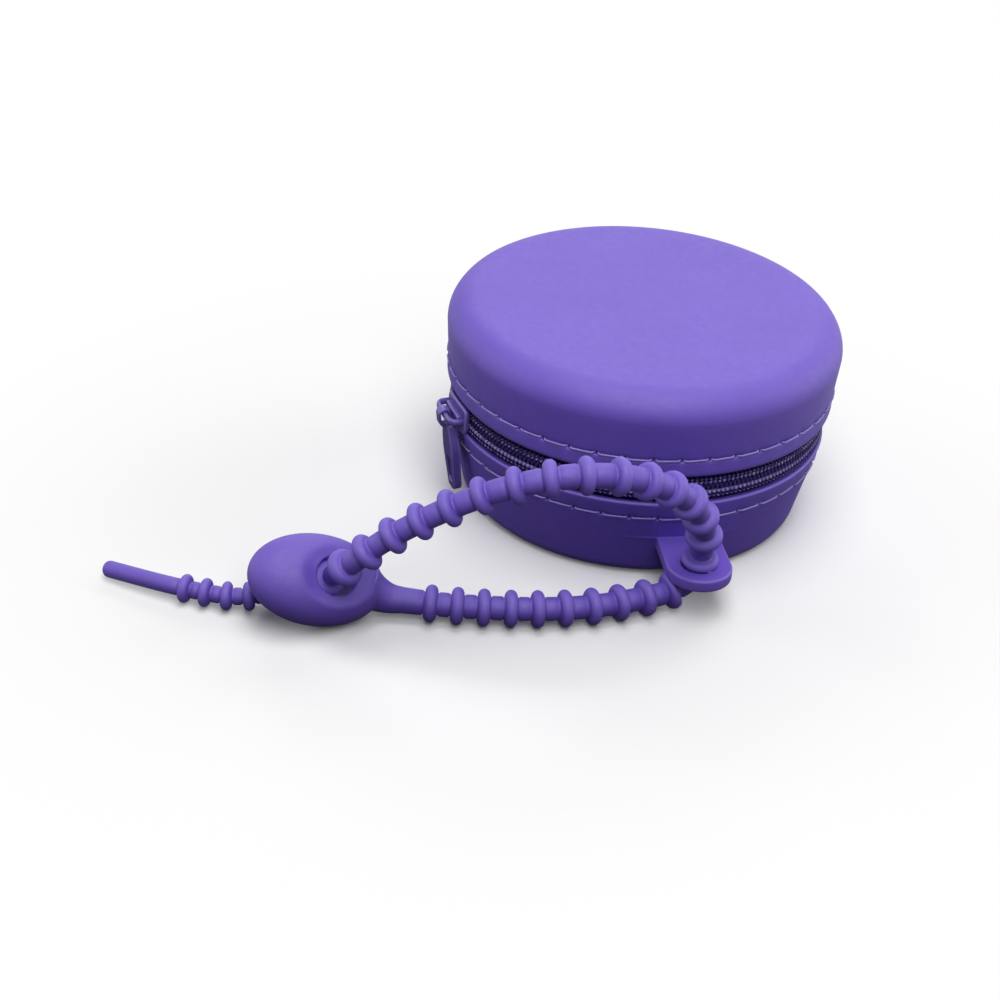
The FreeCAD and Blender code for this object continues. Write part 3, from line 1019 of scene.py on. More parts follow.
@dataclass
class Shell:
    """Turned silicone shell with a sewn lip, given as corners from its edge to the inside."""

    name: str
    seam: Seam
    lip_start: float
    lip: Tuple[Triple, ...]
    lip_edge: Flat
    lip_highlight_reach: float = 0.00055
    seam_reach: float = 0.004
    inner_radius: float = 0.0342
    middle: float = 0.0006
    waver: float = 0.00007
    waver_full: float = 0.03
    waver_pace: Flat = (2.6, 60.0)

    def wall_radius(self, height: float) -> float:
        """Outer radius of the wall at a height; each shell has its own."""
        raise NotImplementedError

    def rows(self) -> List[Flat]:
        """Profile of the shell; each shell has its own."""
        raise NotImplementedError

    def wall(self, *heights: float) -> List[Flat]:
        """Profile points of the outer wall at some heights."""
        return [(self.wall_radius(height), height) for height in heights]

    def swell(self, angle: float, height: float) -> float:
        """Height of a ridge on the wall, where the shell has one."""
        return 0.0

    def seam_rows(self) -> List[Flat]:
        """Draws the profile across the seam's groove.

        Returns:
            Close points, from the top down.
        """
        offsets = [0.0016, 0.0011, 0.00078, 0.00056, 0.00042, 0.0003, 0.0002, 0.0001]
        made: List[Flat] = []
        for offset in offsets + [0.0] + [-o for o in reversed(offsets)]:
            height = self.seam.height + offset
            sink = self.seam.groove * max(0.0, 1 - (abs(offset) / self.seam.groove_half) ** 2)
            made.append((self.wall_radius(height) - sink, height))
        return made

    def lip_rows(self) -> List[Flat]:
        """Profile of the lip, from the wall to the inside."""
        return soft_corners([(*self.wall(self.lip_start)[0], 0), *self.lip], 6)

    def lip_highlight(self, radius: float, height: float) -> float:
        """Share of painted highlight along the lip's outer edge, fading over a short reach."""
        away = math.hypot(radius - self.lip_edge[0], height - self.lip_edge[1])
        return max(0.0, 1 - away / self.lip_highlight_reach)

    def build(self) -> Piece:
        """Turns the shell.

        Returns:
            The dressed shell.
        """
        angles = self.seam.columns()
        rings: List[Ring] = []
        highlights: List[List[float]] = []
        around, upward = self.waver_pace
        outside = True
        for radius, height in self.rows():
            if abs(radius - self.inner_radius) < 1e-6:
                outside = False
            # Painted highlight: a thin lighter line along the lip's outer edge.
            highlight = self.lip_highlight(radius, height) if outside else 0.0
            near_seam = outside and abs(height - self.seam.height) < self.seam_reach
            ring: Ring = []
            for angle in angles:
                depth = self.seam.pull_in(angle, height) if near_seam else 0.0
                if outside:
                    depth -= self.swell(angle, height)
                wave = noise.noise(turned(around, angle, height * upward)) * self.waver
                wave *= min(1.0, radius / self.waver_full)
                ring.append(turned(radius - depth + wave, angle, height))
            rings.append(ring)
            highlights.append([highlight] * len(ring))
        skin = Skin()
        skin.add(rings, highlights, caps=True)
        return CASE_SILICONE.dress(skin.build(self.name))


@dataclass
class Lid(Shell):
    """Upper shell: flat top, broad edge round, wall that draws in to the seam, and lip.

    The wall's upper and lower parts are given by the height where each leaves the
    seam's radius and the length over which it widens or narrows.
    """

    name: str = "lid_shell_silicone"
    seam: Seam = field(default_factory=lambda: Seam("lid_seam_thread", 0.0271, 0.0369, 44))
    lip_start: float = 0.0251
    lip: Tuple[Triple, ...] = (
        (0.03684, 0.02405, 0.0005), (0.0364, 0.0235, 0.0003), (0.0342, 0.0235, 0.0006),
        (0.0342, 0.02885, 0),
    )
    lip_edge: Flat = (0.03678, 0.02385)
    top: float = 0.04
    dip: float = 0.00012
    flat_radius: float = 0.032
    edge: float = 0.0055
    inner_edge: float = 0.0035
    upper: Flat = (0.02765, 0.00685)
    widening: float = 0.0006
    lower: Flat = (0.02655, 0.00255)
    narrowing: float = 0.00005

    def wall_radius(self, height: float) -> float:
        """Outer radius, which grows above the seam and shrinks a little below it."""
        above = max(0.0, height - self.upper[0]) / self.upper[1]
        below = max(0.0, self.lower[0] - height) / self.lower[1]
        return self.seam.radius + self.widening * above - self.narrowing * below

    def rows(self) -> List[Flat]:
        """Draws the lid's profile.

        Returns:
            Points from the top's middle, over the edge and lip, to the inside of the top.
        """
        bend = self.top - self.edge
        crown = [(r, self.top - self.dip * (1 - (r / self.flat_radius) ** 2))
                 for r in (self.middle, 0.006, 0.012, 0.018, 0.024, 0.029)]
        edge = [(self.flat_radius + self.edge * math.sin(a), bend + self.edge * math.cos(a))
                for a in ramp(14)]
        wall = self.wall(0.033, 0.0315, 0.03, 0.0292)
        size = self.inner_edge
        inside = [(self.flat_radius + size, 0.03015)]
        inside += [(self.flat_radius + size * math.cos(a), bend + size * math.sin(a))
                   for a in ramp(8)]
        inside += [(r, bend + size) for r in (0.02, self.middle)]
        return crown + edge + wall + self.seam_rows() + self.lip_rows() + inside


@dataclass
class Bowl(Shell):
    """Lower shell: base, leaning wall, seam, lip and a moulding ridge beside the lug."""

    name: str = "bowl_shell_silicone"
    seam: Seam = field(default_factory=lambda: Seam("bowl_seam_thread", 0.0139, 0.03526, 42))
    lip_start: float = 0.0161
    lip: Tuple[Triple, ...] = (
        (0.03602, 0.01715, 0.0002), (0.03572, 0.0175, 0.0002), (0.0342, 0.0172, 0.0005),
        (0.0342, 0.01215, 0),
    )
    lip_edge: Flat = (0.03578, 0.01722)
    base_radius: float = 0.032
    base_round: float = 0.0032
    lean: float = math.atan(0.23429)
    inner_base: float = 0.030414
    inner_round: float = 0.0012
    thickness: float = 0.002
    ridge: float = 0.00022
    ridge_height: float = 0.0093
    ridge_turn: float = math.radians(20.0)
    ridge_lead: float = 0.00012
    ridge_fade: float = 0.0016

    def wall_radius(self, height: float) -> float:
        """Outer radius of the leaning wall at a height."""
        return self.base_radius + math.tan(self.lean) * height

    def swell(self, angle: float, height: float) -> float:
        """Ridge that runs out on the wall from the lug's top, to nothing.

        Args:
            angle: Angle round the case.
            height: Height on the wall.

        Returns:
            How far the ridge stands out there.
        """
        away = abs((angle + math.pi / 2 + math.pi) % (2 * math.pi) - math.pi) / self.ridge_turn
        drop = self.ridge_height - height
        if away >= 1 or drop < -self.ridge_lead or drop > self.ridge_fade:
            return 0.0
        steep = min(1.0, (drop + self.ridge_lead) / (2 * self.ridge_lead))
        return self.ridge * (1 - away) ** 0.7 * steep * (1 - max(drop, 0.0) / self.ridge_fade) ** 2

    def corner(self, radius: float, height: float, size: float) -> List[Flat]:
        """Arc between a flat base and the leaning wall.

        Args:
            radius: Radius where the base and the wall would meet.
            height: Height of the base.
            size: Radius of the arc.

        Returns:
            Profile points from the base to the wall.
        """
        turn = math.pi / 2 - self.lean
        start = radius - size * math.tan(turn / 2)
        return [(start + size * math.sin(a), height + size * (1 - math.cos(a)))
                for a in ramp(12, turn)]

    def rows(self) -> List[Flat]:
        """Draws the bowl's profile.

        Returns:
            Points from the base's middle, up the wall and lip, to the inside of the base.
        """
        base = [(r, 0.0) for r in (self.middle, 0.012, 0.022)]
        base += self.corner(self.base_radius, 0.0, self.base_round)
        wall = self.wall(0.0045, 0.0062, 0.0076, 0.0082, 0.0087, 0.009, 0.0092, 0.00934, 0.00946,
                         0.00956, 0.00962, 0.0099, 0.0106, 0.0115)
        inside = [(0.032652, 0.01155)]
        inside += self.corner(self.inner_base, self.thickness, self.inner_round)[::-1]
        inside += [(r, self.thickness) for r in (0.015, self.middle)]
        return base + wall + self.seam_rows()[::-1] + self.lip_rows() + inside


@dataclass
class Lug:
    """Flat tab moulded on the bowl, with the strap's hole."""

    bowl: Bowl
    reach: float = 0.0435
    root: float = 0.0325
    top: float = 0.0093
    thickness: float = 0.0024
    shift: float = 0.0006
    turn: float = math.radians(-4.0)
    half_width: float = 0.0061
    root_half: float = 0.0059
    hole: float = 0.003
    hole_shift: float = 0.0004
    edge: float = 0.00045
    fillet: float = 0.0004
    fillet_share: float = 0.8

    def outline(self, count: int) -> Tuple[List[Flat], List[Flat]]:
        """Outlines of the tab and its hole, point for point by angle.

        Args:
            count: Points in each outline.

        Returns:
            The tab's outline, which ends inside the bowl's wall, and the hole's.
        """
        root = self.reach - self.root
        taper = (self.root_half - self.half_width) / root
        tab: List[Flat] = []
        ring: List[Flat] = []
        for k in range(count):
            angle = 2 * math.pi * k / count - math.pi / 2
            c, s = math.cos(angle), math.sin(angle)
            if s <= 0:
                length = self.half_width
            else:
                length = min(self.half_width / max(abs(c) - s * taper, 1e-9), root / s)
            aim = angle + self.turn
            tab.append((self.shift + length * math.cos(aim), length * math.sin(aim) - self.reach))
            ring.append((self.hole_shift + self.hole * c, self.hole * s - self.reach))
        return tab, ring

    def build(self) -> Piece:
        """Makes the tab and draws its root out into the wall.

        Returns:
            The dressed tab.
        """
        skin = Skin()
        tab, ring = self.outline(160)
        # The tab's rounded rims take the washer's painted highlight.
        washer(skin, tab, ring, self.top - self.thickness, self.top, self.edge,
               lambda x, y, z: Vector((x, y, z)), 26)
        piece = skin.build("strap_lug")
        mesh = piece.data
        moved = []
        for vertex in mesh.vertices:
            away = math.hypot(vertex.co.x, vertex.co.y) - self.bowl.wall_radius(vertex.co.z)
            rise = 0.0
            if away < self.fillet:
                gap = self.fillet - max(away, 0.0)
                rise = self.fillet - math.sqrt(max(self.fillet**2 - gap**2, 0.0))
            moved.append(vertex.co + vertex.normal * rise * self.fillet_share)
        for vertex, co in zip(mesh.vertices, moved):
            vertex.co = co
        mesh.update()
        return CASE_SILICONE.dress(piece)


@dataclass
class ZipSide:
    """Tape and coil of one half of the zip."""

    side: Side
    middle: float = 0.0205
    tape_outer: float = 0.03415
    tape_inner: float = 0.03355
    tape_near: float = 0.00078
    tape_far: float = 0.008
    tape_edge: float = 0.0002
    tape_clear: float = 24.0
    coil_radius: float = 0.03495
    coil_half_depth: float = 0.00052
    coil_inner: float = -0.00028
    coil_outer: float = 0.0021
    coil_clear: float = 29.6
    wire: float = 0.0002
    loop_pitch: float = 0.0009
    thread_seat: float = 0.00032
    thread_wave: Flat = (0.00013, 0.00012)

    @property
    def word(self) -> str:
        """Word for this half in the names of its pieces and solids."""
        return self.side.name.lower()

    def span(self, clear: float) -> Flat:
        """Start and end angle of a strip that stops short of the hinge."""
        return math.radians(90 + clear), math.radians(450 - clear)

    def loops(self) -> int:
        """Whole loops that the coil's span takes."""
        start, end = self.span(self.coil_clear)
        return int((end - start) * self.coil_radius / self.loop_pitch)

    def on_coil(self, turns: float, out: float, away: float) -> Vector:
        """Point beside the coil.

        Args:
            turns: Loops counted from the coil's start.
            out: Distance out from the coil's middle.
            away: Distance from the chain's middle, towards this half's shell.

        Returns:
            The point, in the case's frame.
        """
        angle = self.span(self.coil_clear)[0] + turns * self.loop_pitch / self.coil_radius
        return turned(self.coil_radius + out, angle, self.middle + self.side.value * away)

    def tape(self) -> Piece:
        """Makes the woven tape.

        Returns:
            The dressed tape.
        """
        near = self.middle + self.side.value * self.tape_near
        far = self.middle + self.side.value * self.tape_far
        start, end = self.span(self.tape_clear)
        inner, outer, edge = self.tape_inner, self.tape_outer, self.tape_edge
        corners = [(inner, near, edge), (outer, near, edge), (outer, far, edge), (inner, far, edge)]
        section = soft_corners(corners, 3, closed=True)
        angles = [start + turn for turn in ramp(240, end - start)]
        skin = Skin()
        skin.add([[turned(r, angle, z) for r, z in section] for angle in angles], caps=True)
        return ZIP_TAPE.dress(skin.build(self.word + "_tape_woven"))

    def loop_point(self, turns: float, shift: float) -> Vector:
        """Point on the coil's wire.

        Args:
            turns: Loops counted from the coil's start.
            shift: Share of a pitch that the coil is set on by.

        Returns:
            The point, in the case's frame.
        """
        phase = 2 * math.pi * turns
        c, s = math.cos(phase), math.sin(phase)
        half = (self.coil_outer - self.coil_inner) / 2
        away = (self.coil_inner + self.coil_outer) / 2 + half * math.copysign(abs(c) ** 0.75, c)
        out = self.coil_half_depth * math.copysign(abs(s) ** 0.8, s)
        return self.on_coil(turns + shift, out, away)

    def coil(self) -> Piece:
        """Makes the wound coil.

        Returns:
            The dressed coil.
        """
        shift = 0.0 if self.side is Side.UPPER else 0.5
        steps = 16
        count = (self.loops() - 1) * steps + 1
        trail = Trail([self.loop_point(k / steps, shift) for k in range(count)])
        stations = []
        for k in range(count):
            head = max(0.0, -math.cos(2 * math.pi * k / steps))
            outward = max(0.0, math.sin(2 * math.pi * k / steps))
            # Painted highlight on the outermost point of each loop, with share outward**8.
            stations.append((trail.reach[k], self.wire * (1 + 0.22 * head**3), outward**8))
        skin = Skin()
        tube(skin, trail, stations, 7, up=Vector((0.3, 0.2, 1)))
        return COIL_PLASTIC.dress(skin.build(self.word + "_coil_wound"))

    @property
    def thread_rows(self) -> Tuple[Triple, ...]:
        """Sewing rows as (distance from the chain's middle, thread radius, even share of painted
        highlight).
        """
        first = (0.0011, 0.00024, 0.0) if self.side is Side.UPPER else (0.001, 0.00034, 0.22)
        return first, (0.0018, 0.00013, -0.3)

    def sewing(self) -> Piece:
        """Makes the two rows of thread that hold the coil down.

        Returns:
            The dressed thread.
        """
        steps = 6
        out_wave, side_wave = self.thread_wave
        skin = Skin()
        for row, thick, even_highlight in self.thread_rows:
            line: Ring = []
            glints: List[float] = []
            for k in range((self.loops() - 2) * steps + 1):
                turns = k / steps
                wave = math.cos(2 * math.pi * turns)
                out = self.coil_half_depth + self.thread_seat - thick + out_wave * wave
                away = row + side_wave * math.sin(2 * math.pi * turns)
                line.append(self.on_coil(turns, out, away))
                # Painted glints: a near-white crest colour peaks where each stitch lies outermost,
                # plus an even share along the row.
                shine = 0.75 + noise.noise(Vector((turns * 0.7, row * 5000, 0)))
                glint = max(0.0, wave) ** 2 * shine
                glints.append(max(0.0, even_highlight + (1 - even_highlight) * glint))
            trail = Trail(line)
            tube(skin, trail, [(d, thick, g) for d, g in zip(trail.reach, glints)], 6)
        return COIL_THREAD.dress(skin.build(self.word + "_coil_thread"))


@dataclass
class HingeWeb:
    """Flexible woven strip behind both lips at the back."""

    inner: float = 0.0331
    outer: float = 0.034
    bottom: float = 0.0125
    top: float = 0.0285
    half_angle: float = 22.0
    columns: int = 40
    rows: int = 48

    def build(self) -> Piece:
        """Makes the strip with rows close enough to bend.

        Returns:
            The dressed strip.
        """
        around = [(radius, math.radians(90 + way * self.half_angle * (1 - share)))
                  for radius, way in ((self.outer, 1), (self.inner, -1))
                  for share in ramp(self.columns, 2.0)]
        heights = [self.bottom + rise for rise in ramp(self.rows, self.top - self.bottom)]
        skin = Skin()
        skin.add([[turned(*place, height) for place in around] for height in heights], caps=True)
        return HINGE_CLOTH.dress(skin.build("hinge_web_cloth"))


@dataclass
class Slider:
    """Zip slider: two curved plates, a post, a low crown and the bail."""

    angle: float = math.radians(185.3)
    middle: float = 0.0205
    half_length: float = 0.005
    mouth: float = 0.0027
    tail: float = 0.0021
    outer_plate: Flat = (0.036, 0.037)
    inner_plate: Flat = (0.03225, 0.03325)
    plate_edge: float = 0.0004
    sunk: float = 0.0005
    post_half: Flat = (0.0015, 0.0002)
    crown_half: Flat = (0.0034, 0.0009)
    crown: Flat = (0.0366, 0.0378)
    pivot: float = 0.0392
    bail_half: float = 0.0042
    bail_section: Flat = (0.00045, 0.00065)
    bail_round: float = 0.0021

    def at(self, x: float, y: float, z: float) -> Vector:
        """Point given out from the axis, along the zip and up, taken to where the slider rests."""
        c, s = math.cos(self.angle), math.sin(self.angle)
        return Vector((x * c - y * s, x * s + y * c, z))

    def curved(self, y: float, z: float, radius: float) -> Vector:
        """Point of a plate that follows the case's curve."""
        return self.at(math.sqrt(radius**2 - y**2), y, self.middle + z)

    def outline(self) -> List[Flat]:
        """Draws the plate, from a broad mouth to a narrow tail.

        Returns:
            Evenly spaced points of its outline.
        """
        half = self.half_length
        corners = [(half, self.mouth, 0.0014), (0.0, self.mouth, 0.0012)]
        corners += [(-half, self.tail, 0.0012)]
        corners += [(y, -z, size) for y, z, size in reversed(corners)]
        return even_outline(soft_corners(corners, 6, closed=True), 88)

    def bail(self, skin: Skin) -> None:
        """Adds the arch that carries the pull.

        Args:
            skin: Mesh that takes the arch.
        """
        foot = self.outer_plate[1] - self.sunk
        half, size = self.bail_half, self.bail_round
        path = soft_corners([(foot, -half, 0), (self.pivot, -half, size), (self.pivot, half, size),
                             (foot, half, 0)], 12)
        thick, tall = self.bail_section
        section = soft_box(self.bail_section, 0.0006, 5, 24)
        rings: List[Ring] = []
        for k, (x, y) in enumerate(path):
            before, after = Vector(path[max(k - 1, 0)]), Vector(path[min(k + 1, len(path) - 1)])
            run = (after - before).normalized()
            rings.append([self.at(x + run.y * u, y - run.x * u, self.middle + v)
                          for u, v in section])
        # Painted highlight on the corners of the arch's section.
        highlight = [0.7 * min(1.0, abs(u) / thick) * min(1.0, abs(v) / tall) for u, v in section]
        skin.add(rings, [highlight] * len(rings), caps=True)

    def build(self) -> Piece:
        """Makes the slider.

        Returns:
            The dressed slider.
        """
        skin = Skin()
        post = (self.inner_plate[1] - self.sunk, self.outer_plate[0] + self.sunk)
        for outline, (low, high), edge in (
            (self.outline(), self.outer_plate, self.plate_edge),
            (self.outline(), self.inner_plate, self.plate_edge),
            (soft_box(self.post_half, 0.0001, 3, 24), post, 0.00005),
            (soft_box(self.crown_half, 0.0007, 5, 48), self.crown, 0.0003),
        ):
            slab(skin, outline, low, high, edge, self.curved)
        self.bail(skin)
        return ZIP_LACQUER.dress(skin.build("slider_lacquered"))


@dataclass
class PullTab:
    """Pull that hangs on the bail by its eye."""

    slider: Slider
    lean: float = math.radians(9.0)
    eye_inner: float = 0.00072
    eye_wall: float = 0.0005
    eye_width: float = 0.0021
    eye_drop: float = 0.0015
    inset: float = 0.0009
    thickness: float = 0.0018
    edge: float = 0.00042
    drop: float = 0.0168
    shoulder: float = 0.0074
    half_top: float = 0.0015
    half: float = 0.0028
    half_tip: float = 0.0017
    slot_half: Flat = (0.001, 0.0026)
    slot_drop: float = 0.0124

    def at(self, out: float, along: float, rise: float) -> Vector:
        """Point given from the bail's middle, taken to where the leaning pull rests."""
        c, s = math.cos(self.lean), math.sin(self.lean)
        base = self.slider
        return base.at(base.pivot + out * c + rise * s, along, base.middle + rise * c - out * s)

    def eye(self, skin: Skin) -> None:
        """Adds the eye that runs round the bail.

        Args:
            skin: Mesh that takes the eye.
        """
        low, high, half = self.eye_inner, self.eye_inner + self.eye_wall, self.eye_width / 2
        corners = [(low, -half, 0.0003), (high, -half, 0.0004), (high, half, 0.0004),
                   (low, half, 0.0003)]
        section = even_outline(soft_corners(corners, 5, closed=True), 24)
        turns = ramp(24, math.pi)
        ends = [(a, 0.0) for a in turns] + [(math.pi + a, -self.eye_drop) for a in turns]
        rings = [[self.at(r * math.cos(a), y, drop + r * math.sin(a)) for r, y in section]
                 for a, drop in ends]
        # Painted highlight on the outer half of the eye's wall.
        highlights = [[0.8 * max(0.0, (r - low) / (high - low) - 0.5) for r, y in section]] * len(rings)
        skin.add(rings, highlights, wrap_rings=True)

    def outline(self, side: Sequence[Triple], steps: int) -> List[Flat]:
        """Closed outline that is the same on both sides.

        Args:
            side: Corners of its right side, from the lowest up.
            steps: Pieces that each rounding is drawn in.

        Returns:
            Evenly spaced points from the lowest middle.
        """
        left = [(-x, y, size) for x, y, size in reversed(side)]
        corners = [(0.0, side[0][1], 0.0), *side, *left]
        return even_outline(soft_corners(corners, steps, closed=True), 120)

    def build(self) -> Piece:
        """Makes the pull.

        Returns:
            The dressed pull.
        """
        skin = Skin()
        self.eye(skin)
        top = -self.eye_drop - self.eye_inner - self.eye_wall * 0.35
        side = [(self.half_tip, -self.drop, 0.0016), (self.half, -self.shoulder, 0.0022),
                (self.half_top, top, 0.0004)]
        outline = self.outline(side, 8)
        wide, tall = self.slot_half
        slot = self.outline([(wide, -self.slot_drop + end, 0.001) for end in (-tall, tall)], 6)
        back, front = -self.inset - self.thickness / 2, -self.inset + self.thickness / 2
        # The pull's rounded rims take the washer's painted highlight.
        washer(skin, outline, slot, back, front, self.edge, lambda y, z, x: self.at(x, y, z), 8)
        return ZIP_LACQUER.dress(skin.build("pull_tab_lacquered"))


@dataclass(frozen=True)
class Ribs:
    """Run of ribs of one size, by their places along the strap in millimetres."""

    places: Tuple[float, ...]
    crest: float
    half_width: float


@dataclass
class Strap:
    """Ribbed silicone strap, from its neck in the bead to its plain tail."""

    route: Tuple[Triple, ...] = (
        (-0.0574, -0.039, 0.0035), (-0.0484, -0.0423, 0.0035), (-0.0387, -0.0447, 0.0035),
        (-0.0294, -0.0463, 0.0035), (-0.0196, -0.0466, 0.0035), (-0.0102, -0.045, 0.0035),
        (-0.0036, -0.0434, 0.0037), (0.0004, -0.0435, 0.007), (0.0006, -0.0438, 0.0124),
        (-0.0005, -0.047, 0.0196), (-0.0053, -0.0512, 0.0277), (-0.012, -0.0543, 0.0332),
        (-0.0205, -0.0573, 0.0374), (-0.0305, -0.0572, 0.038), (-0.0413, -0.0544, 0.0344),
        (-0.051, -0.0512, 0.0283), (-0.0592, -0.0486, 0.022), (-0.0655, -0.0469, 0.0155),
        (-0.0678, -0.0391, 0.0078), (-0.0734, -0.0352, 0.0037), (-0.082, -0.0353, 0.0027),
        (-0.09, -0.0317, 0.0027), (-0.0972, -0.0271, 0.0025), (-0.1044, -0.0211, 0.0018),
    )
    runs: Tuple[Ribs, ...] = (
        Ribs((9.3, 14.05, 18.8, 23.65, 28.5, 33.5, 38.6, 43.8, 49.1, 54.3), 0.00342, 0.00118),
        Ribs((63.2, 69.9, 76.6, 83.2, 89.8, 96.3, 102.5, 108.6, 114.6, 120.7, 127.0, 133.1, 139.0,
              144.7, 150.4, 156.3), 0.00345, 0.00124),
        Ribs((163.2,), 0.0035, 0.0013),
        Ribs((168.6, 172.5, 176.5, 180.4, 184.3, 188.2, 192.0), 0.00262, 0.001),
    )
    stages: Tuple[Flat, ...] = (
        (0.0, 0.0025), (0.0094, 0.0022), (0.054, 0.0021), (0.064, 0.0022), (0.1, 0.00225),
        (0.13, 0.00208), (0.1555, 0.002), (0.1645, 0.0018), (0.168, 0.0016), (0.21, 0.00155),
    )
    crease_width: float = 0.00045
    crease_depth: float = 0.00028
    root: Triple = (-0.0606, -0.0386, 0.0062)
    root_radius: float = 0.0041
    root_end: float = 0.0055
    root_tuck: float = 0.00004
    tip: float = 0.0013
    ring_gap: float = 0.0009
    rib_steps: int = 14
    tail_rings: int = 12
    tip_rings: int = 7
    sides: int = 32

    def line(self) -> Trail:
        """Reads the smooth line through the route's control points.

        Returns:
            The line, close point by close point.
        """
        curve = bpy.data.curves.new("strap_line", "CURVE")
        curve.dimensions = "3D"
        curve.resolution_u = 24
        spline = curve.splines.new("NURBS")
        spline.points.add(len(self.route) - 1)
        for point, place in zip(spline.points, self.route):
            point.co = (*place, 1.0)
        spline.order_u = 3
        spline.use_endpoint_u = True
        holder = put("strap_line", curve)
        bpy.context.view_layer.update()
        mesh = bpy.data.meshes.new_from_object(holder)
        points = [v.co.copy() for v in mesh.vertices]
        bpy.data.objects.remove(holder)
        bpy.data.curves.remove(curve)
        bpy.data.meshes.remove(mesh)
        return Trail(points)

    def core(self, distance: float) -> float:
        """Radius between the ribs.

        Args:
            distance: Distance along the strap.

        Returns:
            The radius there.
        """
        for (d0, r0), (d1, r1) in zip(self.stages, self.stages[1:]):
            if distance <= d1:
                return r0 + (r1 - r0) * (distance - d0) / (d1 - d0)
        return self.stages[-1][1]

    def stations(self, length: float) -> List[Triple]:
        """Rings of the strap, close on the ribs.

        Args:
            length: Length of the line that the strap follows.

        Returns:
            Rings as (distance, radius, share of painted highlight).
        """
        made = [(0.0, self.core(0.0), 0.0)]
        for run in self.runs:
            for place in (mark * MM for mark in run.places):
                last = made[-1][0]
                foot = place - run.half_width - self.crease_width
                gaps = max(1, round((foot - last) / self.ring_gap))
                for at in (last + run_up for run_up in ramp(gaps, foot - last)[1:]):
                    made.append((at, self.core(at), 0.0))
                for step in range(self.rib_steps + 1):
                    swing = math.pi * (step / self.rib_steps - 0.5)
                    at = place + run.half_width * math.sin(swing)
                    low = self.core(at) - self.crease_depth
                    rise = math.cos(swing) ** 0.8 if 0 < step < self.rib_steps else 0.0
                    # Painted highlight on each rib's crest, with share rise**3.
                    made.append((at, low + (run.crest - low) * rise, rise**3))
                made.append((place + run.half_width + self.crease_width, self.core(place), 0.0))
        last, end = made[-1][0], length - self.tip
        for at in (last + run for run in ramp(self.tail_rings, end - last)[1:]):
            made.append((at, self.core(at), 0.0))
        for g in range(1, self.tip_rings + 1):
            swing = math.pi / 2 * g / (self.tip_rings + 0.3)
            radius = self.core(length) * math.cos(swing) ** 0.8
            made.append((end + self.tip * math.sin(swing), radius, 0.0))
        return made

    def neck(self, skin: Skin) -> None:
        """Adds the swelling root by which the strap grows out of the bead.

        Args:
            skin: Mesh that takes the root.
        """
        run = self.line()
        ahead = [run.at(distance) for distance in ramp(8, self.root_end)]
        start = Vector(self.root)
        hidden = (ahead[0] - start).length
        bend = [start.lerp(ahead[0], t).lerp(ahead[0].lerp(ahead[4], t), t)
                for t in ramp(10, 1.0)[:-1]]
        line = Trail(bend + ahead[4:])
        root: List[Triple] = []
        for share in ramp(24, 1.0):
            swell = (self.root_radius - self.core(0.0)) * (1 - share) ** 1.8
            swell -= self.root_tuck * share
            root.append((line.length * share, self.core(line.length * share - hidden) + swell, 0.0))
        tube(skin, line, root, self.sides)

    def build(self) -> Tuple[Piece, Trail]:
        """Makes the strap.

        Returns:
            The dressed strap and the line that it follows.
        """
        trail = self.line()
        skin = Skin()
        tube(skin, trail, self.stations(trail.length), self.sides)
        return STRAP_SILICONE.dress(skin.build("strap_ribbed")), trail


